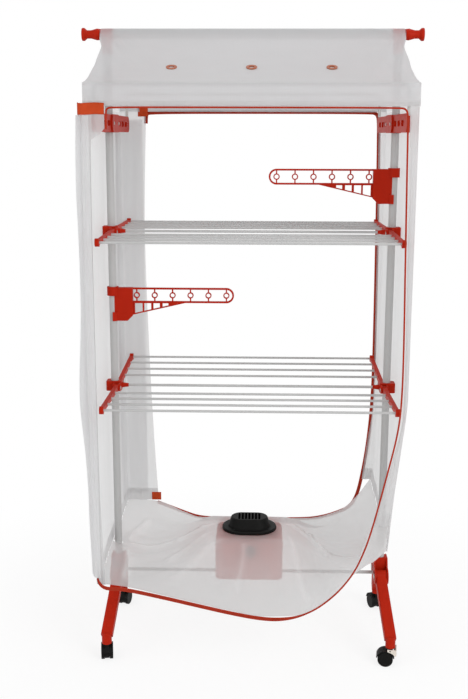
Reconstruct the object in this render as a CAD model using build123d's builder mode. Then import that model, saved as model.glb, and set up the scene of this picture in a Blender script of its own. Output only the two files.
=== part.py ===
from build123d import *
import os
from math import atan2, cos, radians, sin, tan

# Electric clothes drying rack: two posts on castored legs, two folding shelves of rods,
# two swivelling hanger arms, a fan heater on a crossbar and a translucent zipped cover.
# Millimetres. X to the right, Y away from the viewer, Z up from the floor.

# Gaps between pieces
SEAT = 0.2          # between pieces pushed or screwed together
RUN = 0.1           # radial gap of a pin or a shaft that turns
CLOTH_GAP = 0.4     # between the cloth and what it hangs on

# Posts and top bar
POST_X = 358.5      # from the middle to a post's axis
POST_OD = 20.0
POST_WALL = 1.2
POST_FOOT_Z = 196.0
BAR_Z = 1601.0      # height of the top bar's axis
BAR_OD = 22.0
BAR_WALL = 1.2
BAR_END_X = 388.0
TEE_WALL = 2.0
TEE_HALF = 15.0
TEE_DROP = 46.0
TEE_WEB = 2.0
CAP_INNER_X = 375.0
CAP_OUTER_X = 420.0
CAP_FLANGE_R = 15.5
CAP_NECK_R = 10.0
CAP_CONE_R = 13.0
CAP_SHOULDER_R = 14.0
CAP_SHARES = (0.18, 0.5, 0.72, 0.86)    # shoulder, neck, its end, flange
CAP_EDGE = 1.5

# Shelves
LOWER_Z = 711.0
UPPER_Z = 1118.0
ARM_X = 350.0       # middle plane of the shelf arms
ARM_THICK = 10.0
ARM_DEPTH = 15.0
ARM_TIP_DEPTH = 10.0
ARM_EYE_R = 9.0
ARM_BOSS_R = 6.0
ARM_TIP_R = 9.5
# Degrees that the front and the rear arms rise above level
LOWER_TILT = (2.0, 3.0)
UPPER_TILT = (0.0, 0.0)
PIN_Y = 30.0        # from the post's axis to a fold pin
PIN_D = 5.0
PIN_HEAD_R = 4.0
PIN_HEAD = 1.4
ROD_D = 6.0
ROD_SEAT = 7.0      # depth of a rod's end in its arm
ROD_FIRST = 66.0    # from the fold pin to the first rod
ROD_PITCH = 62.7
ROD_COUNT = 4
CENTRE_ROD_D = 7.0
CENTRE_SEAT = 15.0
HUB_INNER_X = 340.0
HUB_OUTER_X = 380.0
HUB_HALF_Y = 17.0
HUB_HEIGHT = 26.0
HUB_CORNER = 6.0
HUB_EDGE = 1.5
EAR_THICK = 4.5
EAR_R = 10.0
SPIKE = 18.0
SPIKE_R = 7.0
SPIKE_TAPER = 8.0

# Canopy level, hung from the top bar
CANOPY_DROP = 214.0     # of the canopy arms' pins below the bar's axis
CANOPY_Z = BAR_Z - CANOPY_DROP
EAVE_DROP = 128.0       # of the eaves below the bar's axis
EAVE_Z = BAR_Z - EAVE_DROP
CANOPY_EAR_R = 22.0
CANOPY_PIN_Y = 40.0
CANOPY_HUB_X = 371.0    # outer face of the canopy's hubs
CANOPY_ARM_R = 21.0
CANOPY_ARM_TIP_Y = 271.0
CANOPY_SLOTS = 3
CANOPY_SLOT = 42.0
CANOPY_SLOT_H = 14.0
CANOPY_SLOT_PITCH = 62.0
BOW_D = 8.0
BOW_Y = 281.0
BOW_DROP = 3.5          # of the bent rods' axis below the eaves
BOW_Z = EAVE_Z - BOW_DROP
BOW_BEND = 14.0
BOW_SEAT = 24.0

# Hanger arms
HANGER_RIGHT_Z = 1190.0     # bottom of the right arm's bracket
HANGER_LEFT_Z = 885.0
HANGER_REACH = 315.0        # from the post's axis to the tip
HANGER_HEIGHT = 89.0
LADDER_HEIGHT = 39.5
LADDER_THICK = 7.0
RAIL = 4.5
RUNG = 3.2
RING_R = 8.0
RING_HOLE_R = 5.2
RING_PITCH = 46.6
RING_COUNT = 6
BRACKET_REACH = 52.0
BRACKET_THICK = 18.0
TRUSS_REACH = 198.0
TRUSS_DROP = 32.0
TRUSS_SLOTS = 4
TRUSS_FIRST = 5.0           # from the bracket to the first slot
TRUSS_PITCH = 24.0
TRUSS_SLOT = 20.0           # length of the first slot
TRUSS_SHORTER = 1.5         # by which each next one is shorter
TRUSS_RAIL = 5.5
LADDER_DROP = 2.5           # of the ladder's top below the bracket's clip
BRACKET_BEVEL = 14.0
CLIP_R = 15.0
CLIP_HEIGHT = 23.0

# Legs and castors
LEG_PIN_Y = 31.0
LEG_PIN_Z = 190.0
LEG_PIN_D = 8.0
LEG_EYE_R = 16.5
LEG_WIDTH = 29.0
LEG_ROOT_DEPTH = 30.0
LEG_KNUCKLE = 27.0      # straight part next to the pin
LEG_FOOT_WIDTH = 30.0
LEG_FOOT_DEPTH = 26.0
LEG_FOOT_X = 372.0
LEG_FOOT_Y = 160.0
FOOT_BOSS_R = 13.0
FOOT_BOTTOM_Z = 51.0
FOOT_TOP_Z = 82.0
LEG_CHEEK = 3.5
LEG_CHEEK_R = 21.0
HUB_TOP_Z = 235.0
HUB_BOTTOM_Z = 162.0
HUB_BLOCK_Y = 14.0
LEG_HUB_CORNER = 5.0
LEG_HUB_EDGE = 2.0
LEG_HUB_FLARE = 12.0
LEG_HUB_SLOPE = 64.0    # degrees, of the cheeks' sides
LEG_PIN_HEAD_R = 6.5
LEG_PIN_HEAD = 1.8
LEG_CORNER = 4.0
LEG_AIM_IN = 2.0        # from the foot's axis
LEG_AIM_DROP = 12.0     # below the foot's top
STEM_D = 10.0
STEM_TOP_Z = 76.0
WHEEL_D = 40.0
WHEEL_THICK = 9.0
WHEEL_EDGE = 1.5
WEB_THICK = 12.0
WHEEL_GAP = 0.5
AXLE_D = 5.0
CASTOR_TRAIL = 12.0
HOOD_R = 24.0
HOOD_WALL = 2.5
HOOD_SKIRT = 5.0        # from the axle up to the hood's lower edge
WEB_INSET = 3.5         # of the round web inside the hood
NECK_WEB = 14.0         # by which the web below the neck is longer than the trail
NECK_R = 7.0
BRAKED = "front_right"
BRAKE_WALL = 2.4
BRAKE_GAP = 1.2         # between the stirrup and the foot of the leg
BRAKE_TAIL = 7.0        # from the stem's axis towards the trail
BRAKE_BOTTOM_Z = 33.0
BRAKE_HEIGHT = 16.4
BRAKE_PIN_D = 4.0
BRAKE_PIN_Z = 46.0
BRAKE_PRESS = 10.0      # degrees that the pedal tilts
BRAKE_CORNER = 1.0
# side, end, and the direction in which each castor trails, in degrees from +X
CASTORS = {
    "front_left": (-1, -1, 98.0),
    "front_right": (1, -1, 172.0),
    "rear_left": (-1, 1, 75.0),
    "rear_right": (1, 1, 110.0),
}

# Crossbar and heater
CROSSBAR_D = 9.0
CROSSBAR_Z = 187.0
CROSSBAR_SEAT = 12.0
HEATER_X = 180.0
HEATER_Y = 156.0
HEATER_R = 18.0
HEATER_WALL = 2.5
HEATER_TOP_Z = 300.0
HEATER_SPLIT_Z = 236.0
HEATER_TOP_R = 8.0
HEATER_BASE_R = 4.0
CRADLE_X = 124.0
CRADLE_Y = 96.0
CRADLE_PLATE = 3.0
CRADLE_CORNER = 10.0
SADDLE_X = 38.0
SADDLE_WIDTH = 14.0
SADDLE_HALF_Y = 11.0
SADDLE_WALL = 2.7
INTAKE_SLOTS = 11
INTAKE_PITCH = 12.0
INTAKE_WIDTH = 5.5
INTAKE_HEIGHT = 22.0
BOSS_X = 74.0
BOSS_Y = 62.0
BOSS_R = 5.0
SCREW_D = 4.0
SCREW_HEAD_R = 3.8
SCREW_HEAD = 2.6
SCREW_NECK = 0.4        # of the shank inside its head
SCREW_GRIP = 12.0
NECK_LONG = 116.0
NECK_WIDE = 76.0
FLANGE_LONG = 147.0
FLANGE_WIDE = 107.0
FLANGE_THICK = 8.0
FLANGE_Z = 312.5
HOOD_TOP_Z = 346.0
HOOD_TOP_LONG = 98.0
HOOD_TOP_WIDE = 58.0
DUCT_WALL = 3.0
COLLAR_EDGE = 3.0
GRILLE_THICK = 3.0
GRILLE_BARS = 9
GRILLE_PITCH = 9.0
GRILLE_SLOT = 5.5
GRILLE_LEDGE = 1.5
GRILLE_RIM = 3.0
PLATE_Z = 256.0
PLATE_THICK = 2.0
ELEMENT_X = 98.0
ELEMENT_Y = 58.0
ELEMENT_H = 22.0
ELEMENT_FRAME = 5.0
FIN_COUNT = 14
FIN_THICK = 1.0
ELEMENT_CORNER = 3.0
MOTOR_R = 20.0
MOTOR_H = 30.0
MOTOR_SHAFT_D = 5.0
MOTOR_EDGE = 2.0
MOTOR_EARS = 3
MOTOR_EAR_R = 5.0
MOTOR_EAR_OUT = 4.0     # from the can's side to an ear's middle
MOTOR_EAR_THICK = 3.0
FAN_TIP_R = 52.0
FAN_HUB_R = 15.0
FAN_H = 16.0
FAN_BLADES = 7
FAN_PITCH = 34.0        # degrees, halfway along a blade
FAN_HUB_EDGE = 3.0
FAN_ROOT = (13.0, 2.0, 14.0)    # chord, thickness and extra twist at a blade's root
FAN_TIP = (24.0, 1.4, -8.0)     # and at its tip
KNOB_X = 5.0
KNOB_Z = 277.0
KNOB_R = 14.0
KNOB_DEPTH = 13.0
KNOB_SHAFT_D = 6.0
KNOB_SHAFT_IN = 9.0     # behind the heater's wall
KNOB_FLUTES = 12
KNOB_FLUTE_R = 1.6
KNOB_FLUTE_OUT = 0.6
KNOB_TAPER = 3.0
KNOB_POINTER = 2.2
KNOB_POINTER_H = 1.6
KNOB_POINTER_RIM = 3.0
TIMER_X = 46.0
TIMER_Y = 24.0
TIMER_H = 30.0
TIMER_CORNER = 3.0
CUTOUT_R = 8.0
CUTOUT_H = 6.0
CUTOUT_OUT = 4.0        # from the element's side
CUTOUT_TAG = (4.0, 20.0, 0.8)
GLAND_X = -55.0
GLAND_Z = 215.0
GLAND_R = 7.0
GLAND_BORE_R = 3.5
GLAND_OUT = 14.0
GLAND_PAD = 2.0
GLAND_NUT = 3.0
GLAND_FLANGE = 2.5
GLAND_TAPER = 4.0

# Cover
CLOTH = 1.2
COVER_X = 373.0     # half the roof's width
COVER_Y = 300.0     # half its depth
SKIRT_DEPTH = 56.0
HEM_Z = EAVE_Z - SKIRT_DEPTH    # lower edge of the roof's skirt
SLOPE_MID_Y = 150.0
SLOPE_MID_RISE = 40.0   # above the eaves
SLOPE_MID_Z = EAVE_Z + SLOPE_MID_RISE
RIDGE_ANGLE = 50.0      # degrees that the ridge's arc runs down each way
VENT_PITCH = 187.0
VENT_FLANGE_R = 13.0
VENT_TUBE_R = 8.8
VENT_BORE_R = 6.5
VENT_FLANGE = 1.6
VENT_LIFT = 0.5         # of the flat flange above the curved cloth
PIPING_R = 2.5
PIPING_BEND = 240.0     # largest radius where it turns gently
PIPING_CORNER = 24.0    # largest radius of its sharp corners
SHARP_TURN = 60.0       # degrees
TAB = 24.0
TAB_THICK = 1.2
TAB_GAP = 0.4           # from the piping
TABS = ((-307.0, HEM_Z), (-284.0, 290.0))
TAB_LONGER = 4.0
TAB_CORNER = 2.0
TAPE_START_X = 324.5
TAPE_CORNER_X = 385.0
TAPE_TURN = 7.0
TAPE_WIDE = 22.0
TAPE_END_Y = 262.0
HEM_LIFT = 3.0          # of the floor's rim above the side's hem
POST_HOLE_R = 12.5

# Side panels: at each height the front edge, X at the five places across, and the rear edge
PANEL_TOP_Z = HEM_Z - 0.3
SIDE_YS = (-299.0, -225.0, -150.0, -75.0, 0.0, 75.0, 150.0, 225.0, 299.0)
SIDE_WAVE = (0.0, 2.7, 0.0, 1.7, 0.0, 1.9, 0.0, 2.3, 0.0)
LEFT_LEVELS = (
    (PANEL_TOP_Z, 324.5, (372, 372, 373, 372, 372), 299),
    (PANEL_TOP_Z - 44.7, 325, (372, 372.8, 374.6, 372.8, 372), 300),
    (PANEL_TOP_Z - 71.7, 356, (372, 373.4, 375.5, 373.4, 372), 301),
    (1100, 358, (372, 378, 384, 378, 372), 307),
    (760, 358, (372, 378, 384, 378, 372), 300),
    (500, 356, (372, 377, 383, 377, 371), 290),
    (262, 348, (371, 372, 375, 372, 370), 277),
)
RIGHT_LEVELS = (
    (PANEL_TOP_Z, 350, (372, 372, 373, 372, 372), 350),
    (1100, 356, (372, 378, 384, 378, 372), 356),
    (760, 361.5, (372, 378, 384, 378, 372), 359.5),
    (725, 361.5, (370, 377.5, 383.5, 378, 372), 360),
    (600, 342, (357, 374, 382, 376, 371), 361),
    (440, 309, (336, 366, 380, 375, 368), 343),
    (262, 300, (318, 352, 376, 372, 350), 325),
)
LEFT_HEM = ((-299, 281), (-150, 274), (0, 268), (150, 272), (299, 277))
RIGHT_HEM = ((-299, 440), (-200, 352), (-100, 290), (0, 266), (100, 284), (200, 314), (299, 350))

# Floor: at each depth the places across between the two rims
SPREAD_Z = FLANGE_Z - CLOTH_GAP - CLOTH / 2     # under the outlet's flange
OUTLET_ROW = (
    (-280, 252), (-190, 271), (-97, SPREAD_Z - 1), (-40, SPREAD_Z), (30, SPREAD_Z - 0.1),
    (97, SPREAD_Z - 1), (180, 270), (255, 250), (320, 256),
)
FLOOR_ROWS = (
    (-297.6, ((-301, 279), (-210, 259), (-117, 238), (-40, 221), (30, 205),
              (128, 206), (201, 245), (260, 318), (304, 434))),
    (-200.0, ((-290, 258), (-200, 262), (-110, 262), (-60, 248), (10, 248),
              (110, 236), (190, 232), (250, 262), (308, 305))),
    (-75.0, OUTLET_ROW),
    (0.0, OUTLET_ROW),
    (75.0, OUTLET_ROW),
    (190.0, ((-290, 256), (-200, 250), (-110, 258), (-50, 246), (20, 248),
             (110, 250), (190, 244), (255, 258), (310, 286))),
    (297.6, ((-283, 274), (-199, 240), (-153, 224), (-60, 222), (20, 221),
             (100, 222), (181, 225), (272, 252), (316, 292))),
)

# Rolled door: at each height the inner and the outer edge of its folds
DOOR_LEVELS = (
    (HEM_Z - 15.0, 376.6, 390.0),
    (1215.0, 379.2, 397.0),
    (987.0, 379.8, 395.0),
    (749.0, 379.8, 400.0),
    (601.0, 379.4, 392.0),
    (449.0, 378.4, 388.0),
    (300.0, 376.0, 383.0),
)
DOOR_FOLD_YS = (-284.0, -268.0, -252.0, -236.0, -220.0, -206.0)
DOOR_TURN_IN = 3.0      # where the strip leaves the front, inside the inner edge
DOOR_TURN_OUT = 1.0
DOOR_TURN_Y = 7.0
FRONT_DOOR_X = 360.0
REAR_DOOR_X = 310.0

# Piping along the edges of the two doorways, seen from the front
PIPING_TOP_Z = HEM_Z - 3.0
FRONT_PIPING = (
    (-321, PIPING_TOP_Z - 43), (-321, PIPING_TOP_Z), (347, PIPING_TOP_Z), (353, 1084), (358, 725),
    (304, 433), (260, 316),
    (201, 242), (128, 203), (30, 202), (-117, 235), (-301, 276), (-357, 277),
)
REAR_PIPING = (
    (-296, PIPING_TOP_Z - 24), (-296, PIPING_TOP_Z), (347, PIPING_TOP_Z), (353, 1096), (357, 595),
    (329, 346), (316, 292),
    (272, 250), (181, 223), (-150, 222), (-199, 238), (-280, 270),
)
PIPING_Y = 300.5


def write(piece, name):
    """Label a finished piece and write it to its own file."""
    piece.part.label = name
    export_step(piece.part, f"parts/{name}.step")


def group(pieces):
    """Several separate solids of one kind as one node."""
    with BuildPart() as joined:
        for piece in pieces:
            add(piece.part)
    return joined


def band(points, thickness):
    """Closed outline of a strip that follows a list of points, as wide on both sides."""
    left, right = [], []
    for i, (x, y) in enumerate(points):
        before = points[max(i - 1, 0)]
        after = points[min(i + 1, len(points) - 1)]
        turn_in = atan2(y - before[1], x - before[0])
        turn_out = atan2(after[1] - y, after[0] - x)
        if i == 0:
            turn_in = turn_out
        if i == len(points) - 1:
            turn_out = turn_in
        nx = -sin(turn_in) - sin(turn_out)
        ny = cos(turn_in) + cos(turn_out)
        half = thickness / (nx * nx + ny * ny)
        left.append((x + nx * half, y + ny * half))
        right.append((x - nx * half, y - ny * half))
    return left + right[::-1]


os.makedirs("parts", exist_ok=True)


# Posts, top bar and its fittings
def post(side):
    top = BAR_Z - BAR_OD / 2 - TEE_WEB - SEAT
    with BuildPart() as tube:
        with BuildSketch(Plane.XY.offset(POST_FOOT_Z)):
            with Locations((side * POST_X, 0)):
                Circle(POST_OD / 2)
                Circle(POST_OD / 2 - POST_WALL, mode=Mode.SUBTRACT)
        extrude(amount=top - POST_FOOT_Z)
    return tube


def bar_tee(side):
    outer = BAR_OD / 2 + TEE_WALL
    with BuildPart() as tee:
        with BuildSketch(Plane.YZ.offset(side * POST_X)):
            with Locations((0, BAR_Z)):
                Circle(outer)
        extrude(amount=TEE_HALF, both=True)
        with BuildSketch(Plane.XY.offset(BAR_Z - TEE_DROP)):
            with Locations((side * POST_X, 0)):
                Circle(outer)
        extrude(amount=TEE_DROP)
        with BuildSketch(Plane.XY.offset(BAR_Z - TEE_DROP)):
            with Locations((side * POST_X, 0)):
                Circle(POST_OD / 2 + SEAT)
        extrude(amount=TEE_DROP - BAR_OD / 2 - TEE_WEB, mode=Mode.SUBTRACT)
        with BuildSketch(Plane.YZ.offset(side * POST_X)):
            with Locations((0, BAR_Z)):
                Circle(BAR_OD / 2 + SEAT)
        extrude(amount=TEE_HALF, both=True, mode=Mode.SUBTRACT)
    return tee


def bar_cap(side):
    """Spool on the bar's end: a wide cone inside, a neck, and a flange outside."""
    length = CAP_OUTER_X - CAP_INNER_X
    shoulder, neck, neck_end, flange = [share * length for share in CAP_SHARES]
    with BuildPart() as cap:
        with BuildSketch(Plane.XZ):
            with BuildLine():
                Polyline(
                    (0, 0),
                    (0, CAP_CONE_R),
                    (shoulder, CAP_SHOULDER_R),
                    (neck, CAP_NECK_R),
                    (neck_end, CAP_NECK_R),
                    (flange, CAP_FLANGE_R),
                    (length, CAP_FLANGE_R),
                    (length, 0),
                    close=True,
                )
            make_face()
        revolve(axis=Axis.X)
        fillet(cap.edges().filter_by(GeomType.CIRCLE).group_by(Axis.X)[-1], radius=CAP_EDGE)
        with BuildSketch(Plane.YZ):
            Circle(BAR_OD / 2 + SEAT)
        extrude(amount=BAR_END_X - CAP_INNER_X + SEAT, mode=Mode.SUBTRACT)
    placed = Location((side * CAP_INNER_X, 0, BAR_Z), (0, 0, 0 if side > 0 else 180))
    cap.part.location = placed
    return cap


post_left = post(-1)
write(post_left, "post_left")
post_right = post(1)
write(post_right, "post_right")

with BuildPart() as top_bar:
    with BuildSketch(Plane.YZ):
        with Locations((0, BAR_Z)):
            Circle(BAR_OD / 2)
            Circle(BAR_OD / 2 - BAR_WALL, mode=Mode.SUBTRACT)
    extrude(amount=BAR_END_X, both=True)
write(top_bar, "top_bar")
write(group([bar_tee(-1), bar_tee(1)]), "bar_tees")
write(group([bar_cap(-1), bar_cap(1)]), "bar_caps")


# Hubs that clamp the posts and carry the arms between their ears
def hub(side, level, height, outer_x, pin_y, ear_r, spike):
    """Clamp round a post with two ears towards the front and two towards the back."""
    slot = ARM_THICK / 2 + SEAT
    with BuildPart() as block:
        with BuildSketch(Plane.XY.offset(level - height / 2)):
            with Locations((side * (HUB_INNER_X + outer_x) / 2, 0)):
                RectangleRounded(outer_x - HUB_INNER_X, 2 * HUB_HALF_Y, HUB_CORNER)
        extrude(amount=height)
        fillet(block.edges().filter_by(Plane.XY), radius=HUB_EDGE)
        for start in (ARM_X - slot - EAR_THICK, ARM_X + slot):
            with BuildSketch(Plane.YZ.offset(side * start)):
                with Locations((0, level)):
                    SlotCenterToCenter(2 * pin_y, 2 * ear_r)
            extrude(amount=side * EAR_THICK)
        if spike:
            with BuildSketch(Plane.YZ.offset(side * HUB_INNER_X)):
                with Locations((0, level)):
                    Circle(SPIKE_R)
            extrude(amount=-side * SPIKE, taper=SPIKE_TAPER)
            with BuildSketch(Plane.YZ.offset(side * (HUB_INNER_X - SPIKE))):
                with Locations((0, level)):
                    Circle(CENTRE_ROD_D / 2 + SEAT)
            extrude(amount=side * CENTRE_SEAT, mode=Mode.SUBTRACT)
        with BuildSketch(Plane.XY.offset(level - height)):
            with Locations((side * POST_X, 0)):
                Circle(POST_OD / 2 + SEAT)
        extrude(amount=2 * height, mode=Mode.SUBTRACT)
        with BuildSketch(Plane.YZ.offset(side * HUB_INNER_X)):
            with Locations((-pin_y, level), (pin_y, level)):
                Circle(PIN_D / 2 + SEAT)
        extrude(amount=side * (outer_x - HUB_INNER_X), mode=Mode.SUBTRACT)
    return block


def shelf_hub(side, level):
    return hub(side, level, HUB_HEIGHT, HUB_OUTER_X, PIN_Y, EAR_R, spike=True)


def canopy_hub(side):
    height = 2 * CANOPY_EAR_R
    return hub(side, CANOPY_Z, height, CANOPY_HUB_X, CANOPY_PIN_Y, CANOPY_EAR_R, spike=False)


def hinge_pin(side, y, z):
    """Headed pin through both ears; its head lies against the inner ear."""
    reach = ARM_THICK / 2 + SEAT + EAR_THICK
    with BuildPart() as pin:
        with BuildSketch(Plane.YZ.offset(side * (ARM_X - reach - SEAT))):
            with Locations((y, z)):
                Circle(PIN_D / 2)
        extrude(amount=side * 2 * reach)
        with BuildSketch(Plane.YZ.offset(side * (ARM_X - reach - SEAT))):
            with Locations((y, z)):
                Circle(PIN_HEAD_R)
        extrude(amount=-side * PIN_HEAD)
    return pin


write(group([shelf_hub(side, LOWER_Z) for side in (-1, 1)]), "shelf_hubs_lower")
write(group([shelf_hub(side, UPPER_Z) for side in (-1, 1)]), "shelf_hubs_upper")
write(group([canopy_hub(side) for side in (-1, 1)]), "canopy_hubs")
pins = [
    hinge_pin(side, end * y, z)
    for side in (-1, 1)
    for end in (-1, 1)
    for y, z in ((PIN_Y, LOWER_Z), (PIN_Y, UPPER_Z), (CANOPY_PIN_Y, CANOPY_Z))
]
write(group(pins), "arm_pins")

centre_end = HUB_INNER_X - SPIKE + CENTRE_SEAT - SEAT
with BuildPart() as centre_rods:
    with BuildSketch(Plane.YZ):
        with Locations((0, LOWER_Z), (0, UPPER_Z)):
            Circle(CENTRE_ROD_D / 2)
    extrude(amount=centre_end, both=True)
write(centre_rods, "centre_rods")


# Folding wings: two arms with eyes, rod bosses and a round tip, and four rods
def rod_places(end, level):
    """Where the rods cross the YZ plane: along the tilted arm from its fold pin."""
    front, rear = LOWER_TILT if level == LOWER_Z else UPPER_TILT
    tilt = radians(front if end < 0 else rear)
    reach = [ROD_FIRST + i * ROD_PITCH for i in range(ROD_COUNT)]
    return [(end * (PIN_Y + r * cos(tilt)), level + r * sin(tilt)) for r in reach]


def wing_arm(side, end, level):
    rods = rod_places(end, level)
    pivot = (end * PIN_Y, level)
    tip = rods[-1]
    with BuildPart() as arm:
        with BuildSketch(Plane.YZ.offset(side * ARM_X)):
            with Locations(pivot):
                Circle(ARM_EYE_R)
            Polygon(
                (pivot[0], pivot[1] - ARM_DEPTH / 2),
                (tip[0], tip[1] - ARM_TIP_DEPTH / 2),
                (tip[0], tip[1] + ARM_TIP_DEPTH / 2),
                (pivot[0], pivot[1] + ARM_DEPTH / 2),
                align=None,
            )
            with Locations(rods):
                Circle(ARM_BOSS_R)
            with Locations(tip):
                Circle(ARM_TIP_R)
        extrude(amount=ARM_THICK / 2, both=True)
        with BuildSketch(Plane.YZ.offset(side * ARM_X)):
            with Locations(pivot):
                Circle(PIN_D / 2 + RUN)
        extrude(amount=ARM_THICK, both=True, mode=Mode.SUBTRACT)
        with BuildSketch(Plane.YZ.offset(side * (ARM_X - ARM_THICK / 2))):
            with Locations(rods):
                Circle(ROD_D / 2 + SEAT)
        extrude(amount=side * ROD_SEAT, mode=Mode.SUBTRACT)
    return arm


def wing_rods(end, level):
    with BuildPart() as rods:
        with BuildSketch(Plane.YZ):
            with Locations(rod_places(end, level)):
                Circle(ROD_D / 2)
        extrude(amount=ARM_X - ARM_THICK / 2 + ROD_SEAT - SEAT, both=True)
    return rods


for shelf, level in (("lower", LOWER_Z), ("upper", UPPER_Z)):
    for place, end in (("front", -1), ("rear", 1)):
        arms = group([wing_arm(side, end, level) for side in (-1, 1)])
        write(arms, f"{shelf}_{place}_arms")
        write(wing_rods(end, level), f"{shelf}_{place}_rods")


# Canopy: deep slotted arms and a bent rod at each eave
def canopy_arm(side, end):
    root = (end * CANOPY_PIN_Y, CANOPY_Z)
    tip = (end * CANOPY_ARM_TIP_Y, CANOPY_Z)
    first = (CANOPY_PIN_Y + CANOPY_ARM_TIP_Y - (CANOPY_SLOTS - 1) * CANOPY_SLOT_PITCH) / 2
    with BuildPart() as arm:
        with BuildSketch(Plane.YZ.offset(side * ARM_X)):
            with Locations(((root[0] + tip[0]) / 2, CANOPY_Z)):
                SlotCenterToCenter(abs(tip[0] - root[0]), 2 * CANOPY_ARM_R)
            slots = [
                (end * (first + i * CANOPY_SLOT_PITCH), CANOPY_Z) for i in range(CANOPY_SLOTS)
            ]
            with Locations(slots):
                SlotOverall(CANOPY_SLOT, CANOPY_SLOT_H, mode=Mode.SUBTRACT)
            with Locations(root):
                Circle(PIN_D / 2 + SEAT, mode=Mode.SUBTRACT)
        extrude(amount=ARM_THICK / 2, both=True)
        with BuildSketch(Plane.XY.offset(CANOPY_Z + CANOPY_ARM_R)):
            with Locations((side * ARM_X, end * BOW_Y)):
                Circle(BOW_D / 2 + SEAT)
        extrude(amount=-BOW_SEAT, mode=Mode.SUBTRACT)
    return arm


def roof_bow(end):
    """Bent rod that stands in the arms' tips and holds up the eave."""
    foot = CANOPY_Z + CANOPY_ARM_R - BOW_SEAT + SEAT
    with BuildPart() as bow:
        with BuildLine():
            FilletPolyline(
                (-ARM_X, end * BOW_Y, foot),
                (-ARM_X, end * BOW_Y, BOW_Z),
                (ARM_X, end * BOW_Y, BOW_Z),
                (ARM_X, end * BOW_Y, foot),
                radius=BOW_BEND,
            )
        with BuildSketch(Plane.XY.offset(foot)):
            with Locations((-ARM_X, end * BOW_Y)):
                Circle(BOW_D / 2)
        sweep()
    return bow


write(group([canopy_arm(side, end) for side in (-1, 1) for end in (-1, 1)]), "canopy_arms")
write(group([roof_bow(-1), roof_bow(1)]), "roof_bows")


# Hanger arms: a ladder of rings over a small truss, on a bracket that turns on the post
def hanger_arm(side, bottom):
    def at(s, h):
        """Place in the arm's own plane: reach from the post's axis and height."""
        return (side * (POST_X - s), bottom + h)

    top = HANGER_HEIGHT - LADDER_DROP
    middle = top - LADDER_HEIGHT / 2
    ladder_r = LADDER_HEIGHT / 2
    tip = HANGER_REACH - ladder_r
    rings = [tip - (RING_COUNT - 1 - i) * RING_PITCH for i in range(RING_COUNT)]
    low = top - LADDER_HEIGHT
    with BuildPart() as arm:
        with BuildSketch(Plane.XZ):
            Polygon(
                at(0, low), at(tip, low), at(tip, top), at(0, top), align=None
            )
            with Locations(at(tip, middle)):
                Circle(ladder_r)
            Polygon(
                at(BRACKET_REACH - 2, low + RAIL),
                at(BRACKET_REACH - 2, low - TRUSS_DROP),
                at(TRUSS_REACH, low + RAIL / 2),
                align=None,
            )
            Polygon(
                at(BRACKET_REACH, low + RAIL),
                at(tip, low + RAIL),
                at(tip, top - RAIL),
                at(BRACKET_REACH, top - RAIL),
                align=None,
                mode=Mode.SUBTRACT,
            )
            with Locations(at(tip, middle)):
                Circle(ladder_r - RAIL, mode=Mode.SUBTRACT)
            for s in rings:
                with Locations(at(s, middle)):
                    Rectangle(RUNG, LADDER_HEIGHT - RAIL)
                    Circle(RING_R)
                    Circle(RING_HOLE_R, mode=Mode.SUBTRACT)
            truss_slope = (TRUSS_DROP + RAIL / 2) / (TRUSS_REACH - BRACKET_REACH)
            for i in range(TRUSS_SLOTS):
                start = BRACKET_REACH + TRUSS_FIRST + i * TRUSS_PITCH
                end = start + TRUSS_SLOT - i * TRUSS_SHORTER
                low_start = (TRUSS_REACH - start) * truss_slope - TRUSS_RAIL
                low_end = (TRUSS_REACH - end) * truss_slope - TRUSS_RAIL
                Polygon(
                    at(start, low - 1),
                    at(end, low - 1),
                    at(end, low - low_end),
                    at(start, low - low_start),
                    align=None,
                    mode=Mode.SUBTRACT,
                )
        extrude(amount=LADDER_THICK / 2, both=True)
        with BuildSketch(Plane.XZ):
            Polygon(
                at(0, 0),
                at(BRACKET_REACH - BRACKET_BEVEL, 0),
                at(BRACKET_REACH, BRACKET_BEVEL),
                at(BRACKET_REACH, top),
                at(0, top),
                align=None,
            )
        extrude(amount=BRACKET_THICK / 2, both=True)
        with BuildSketch(Plane.XY.offset(bottom + HANGER_HEIGHT - CLIP_HEIGHT)):
            with Locations((side * POST_X, 0)):
                Circle(CLIP_R)
        extrude(amount=CLIP_HEIGHT)
        with BuildSketch(Plane.XY.offset(bottom)):
            with Locations((side * POST_X, 0)):
                Circle(CLIP_R)
            with Locations((side * (POST_X + CLIP_R), 0)):
                Rectangle(2 * CLIP_R, 2 * CLIP_R, mode=Mode.SUBTRACT)
        extrude(amount=CLIP_HEIGHT)
        with BuildSketch(Plane.XY.offset(bottom)):
            with Locations((side * POST_X, 0)):
                Circle(POST_OD / 2 + RUN)
        extrude(amount=HANGER_HEIGHT, mode=Mode.SUBTRACT)
    return arm


hanger_arm_left = hanger_arm(-1, HANGER_LEFT_Z)
write(hanger_arm_left, "hanger_arm_left")
hanger_arm_right = hanger_arm(1, HANGER_RIGHT_Z)
write(hanger_arm_right, "hanger_arm_right")


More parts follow.
